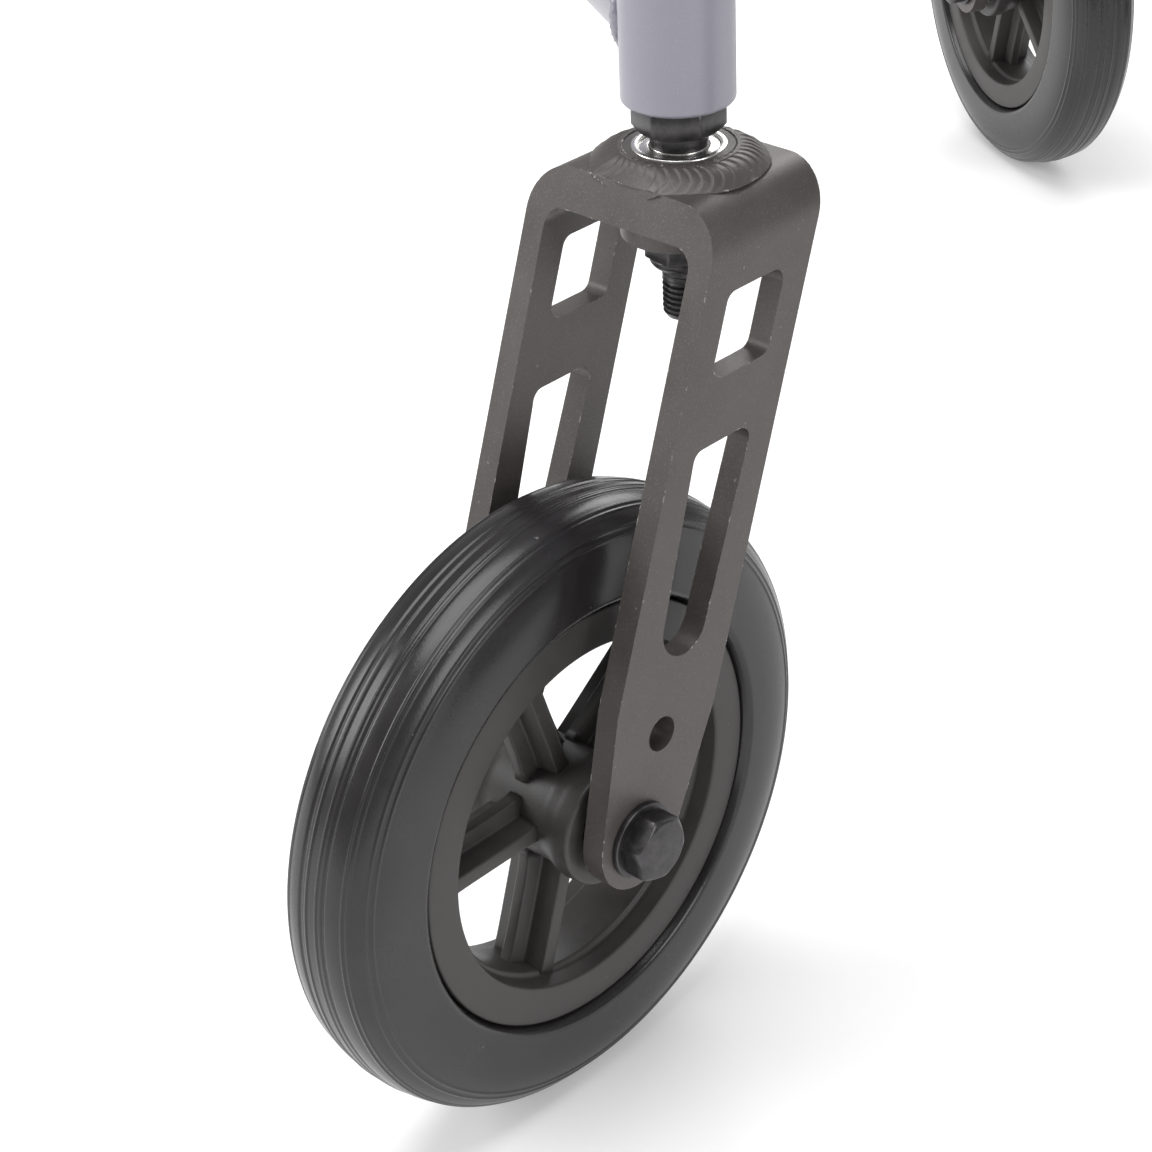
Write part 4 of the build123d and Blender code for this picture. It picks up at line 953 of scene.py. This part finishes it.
def stitches(path, length, gap, radius):
    """Short bars along a path, each a ball stretched to the stitch's length and sunk half way in."""
    steps = np.linalg.norm(np.diff(path, axis=0), axis=1)
    run = np.concatenate([[0], np.cumsum(steps)])
    starts = np.arange(gap, run[-1] - length, length + gap)
    sheets = []
    bend = np.linspace(0, np.pi, 6)
    roll = np.linspace(0, 2 * np.pi, 6, endpoint=False)
    for start in starts:
        ends = [np.array([np.interp(at, run, path[:, axis]) for axis in range(3)])
                for at in (start, start + length)]
        ahead = (ends[1] - ends[0]) / np.linalg.norm(ends[1] - ends[0])
        aside = np.cross(UP, ahead)
        aside /= np.linalg.norm(aside)
        above = np.cross(ahead, aside)
        middle = (ends[0] + ends[1]) / 2
        along = -np.cos(bend)[:, None, None] * length / 2
        girth = radius * np.maximum(np.sin(bend), 0.05)[:, None, None] ** 0.5
        sheets.append((middle + along * ahead + girth * (np.cos(roll)[None, :, None] * aside
                                                         + np.sin(roll)[None, :, None] * above), False))
    return sheets


thread_grey = soft_black("stitching_thread", 0.10, 0.16, 0.6, 2600.0, 0.00005)
seams = []
for level in (pad_high[2] - 0.0185, pad_low[2] + 0.0115):
    path = outline_path(cushion, level, 400)
    middle = path.mean(0)
    away = path - middle
    away[:, 2] = 0
    path = path + away / np.linalg.norm(away, axis=1, keepdims=True) * 0.0006
    seams += stitches(np.concatenate([path, path[:1]]), 0.0034, 0.0018, 0.00055)
keep(skin("pad_stitching", seams), "knee_pad", thread_grey, slots["pad_cushion"])


# ---- Board, post and screws of the knee pad --------------------------------------------
# Birch plywood board, stained black, and a bright post whose flange is held by four pan-head screws.
def stained_board():
    """Black-stained plywood: long grain on its faces and thin plies along its edge."""
    material, tree, shader = new_material("stained_plywood")
    grain = noise(tree, 26.0, 6.0, 0.7, stretch=(9.0, 1.0, 9.0))
    base = ramp(tree, grain, [(0.3, (0.030, 0.026, 0.023)), (0.7, (0.055, 0.047, 0.041))])
    tree.links.new(base, shader.inputs["Base Color"])
    tree.links.new(spread(tree, grain, 0.5, 0.62), shader.inputs["Roughness"])
    bump(tree, shader, grain, 0.00012)
    return material


board = stained_board()
keep(eased("pad_board", 0.5), "knee_pad", board, slots["pad_board"], "pad_board")
keep(eased("pad_post", 0.5), "knee_pad", brushed, slots["pad_post"], "pad_post")
keep(eased("pad_screws", 0.6), "knee_pad", zinc, slots["pad_screws"], "pad_screws")


# ---- Floor, light and camera -----------------------------------------------------------
# A pale studio floor, lit a little from within, under four large soft lights.
def studio():
    """Floor sheet, its material, and the lights."""
    mesh = bpy.data.meshes.new("studio_floor")
    mesh.from_pydata([(-9, -9, 0), (9, -9, 0), (9, 9, 0), (-9, 9, 0)], [], [(0, 1, 2, 3)])
    floor = bpy.data.objects.new("studio_floor", mesh)
    bpy.context.scene.collection.objects.link(floor)
    material, tree, shader = new_material("studio_paper")
    cloud = noise(tree, 2.0, 2.0)
    tree.links.new(ramp(tree, cloud, [(0.0, (0.86, 0.86, 0.86)), (1.0, (0.90, 0.90, 0.90))]),
                   shader.inputs["Base Color"])
    shader.inputs["Roughness"].default_value = 0.9
    shader.inputs["Emission Color"].default_value = (1.0, 1.0, 1.0, 1.0)
    shader.inputs["Emission Strength"].default_value = 0.22
    mesh.materials.append(material)
    world = bpy.data.worlds.new("studio")
    bpy.context.scene.world = world
    world.use_nodes = True
    world.node_tree.nodes["Background"].inputs["Color"].default_value = (1.0, 1.0, 1.0, 1.0)
    world.node_tree.nodes["Background"].inputs["Strength"].default_value = 0.36
    for name, spot, aim, size, power in (
            ("overhead", (-0.5, -0.5, 3.2), (-0.1, -0.1, 0.2), 2.6, 74.0),
            ("left_side", (-3.0, -1.0, 1.6), (-0.1, -0.2, 0.2), 1.8, 44.0),
            ("right_side", (2.8, -1.6, 1.5), (0.0, -0.2, 0.2), 1.8, 36.0),
            ("behind", (-0.3, 3.2, 2.2), (-0.1, -0.2, 0.2), 2.2, 52.0)):
        lamp = bpy.data.lights.new(name, "AREA")
        lamp.shape = "DISK"
        lamp.size = size
        lamp.energy = power
        light = bpy.data.objects.new(name, lamp)
        light.location = spot
        light.rotation_euler = (Vector(aim) - Vector(spot)).to_track_quat("-Z", "Y").to_euler()
        light.visible_camera = False
        bpy.context.scene.collection.objects.link(light)


studio()
bpy.context.scene.view_settings.view_transform = "Standard"
yaw, pitch, tilt = -0.3581, -0.5357, -0.0458     # radians: to the left, down, and its roll
ahead = np.array([math.sin(yaw) * math.cos(pitch), math.cos(yaw) * math.cos(pitch), math.sin(pitch)])
aside = np.array([math.cos(yaw), -math.sin(yaw), 0.0])
above = np.cross(aside, ahead)
right = math.cos(tilt) * aside + math.sin(tilt) * above
top = -math.sin(tilt) * aside + math.cos(tilt) * above
lens = bpy.data.cameras.new("camera")
lens.lens, lens.sensor_width = 88.3, 36.0
camera = bpy.data.objects.new("camera", lens)
turn = Matrix((right, top, -ahead)).transposed().to_4x4()
camera.matrix_world = Matrix.Translation((0.0466, -1.0451, 0.5977)) @ turn
bpy.context.scene.collection.objects.link(camera)
bpy.context.scene.camera = camera
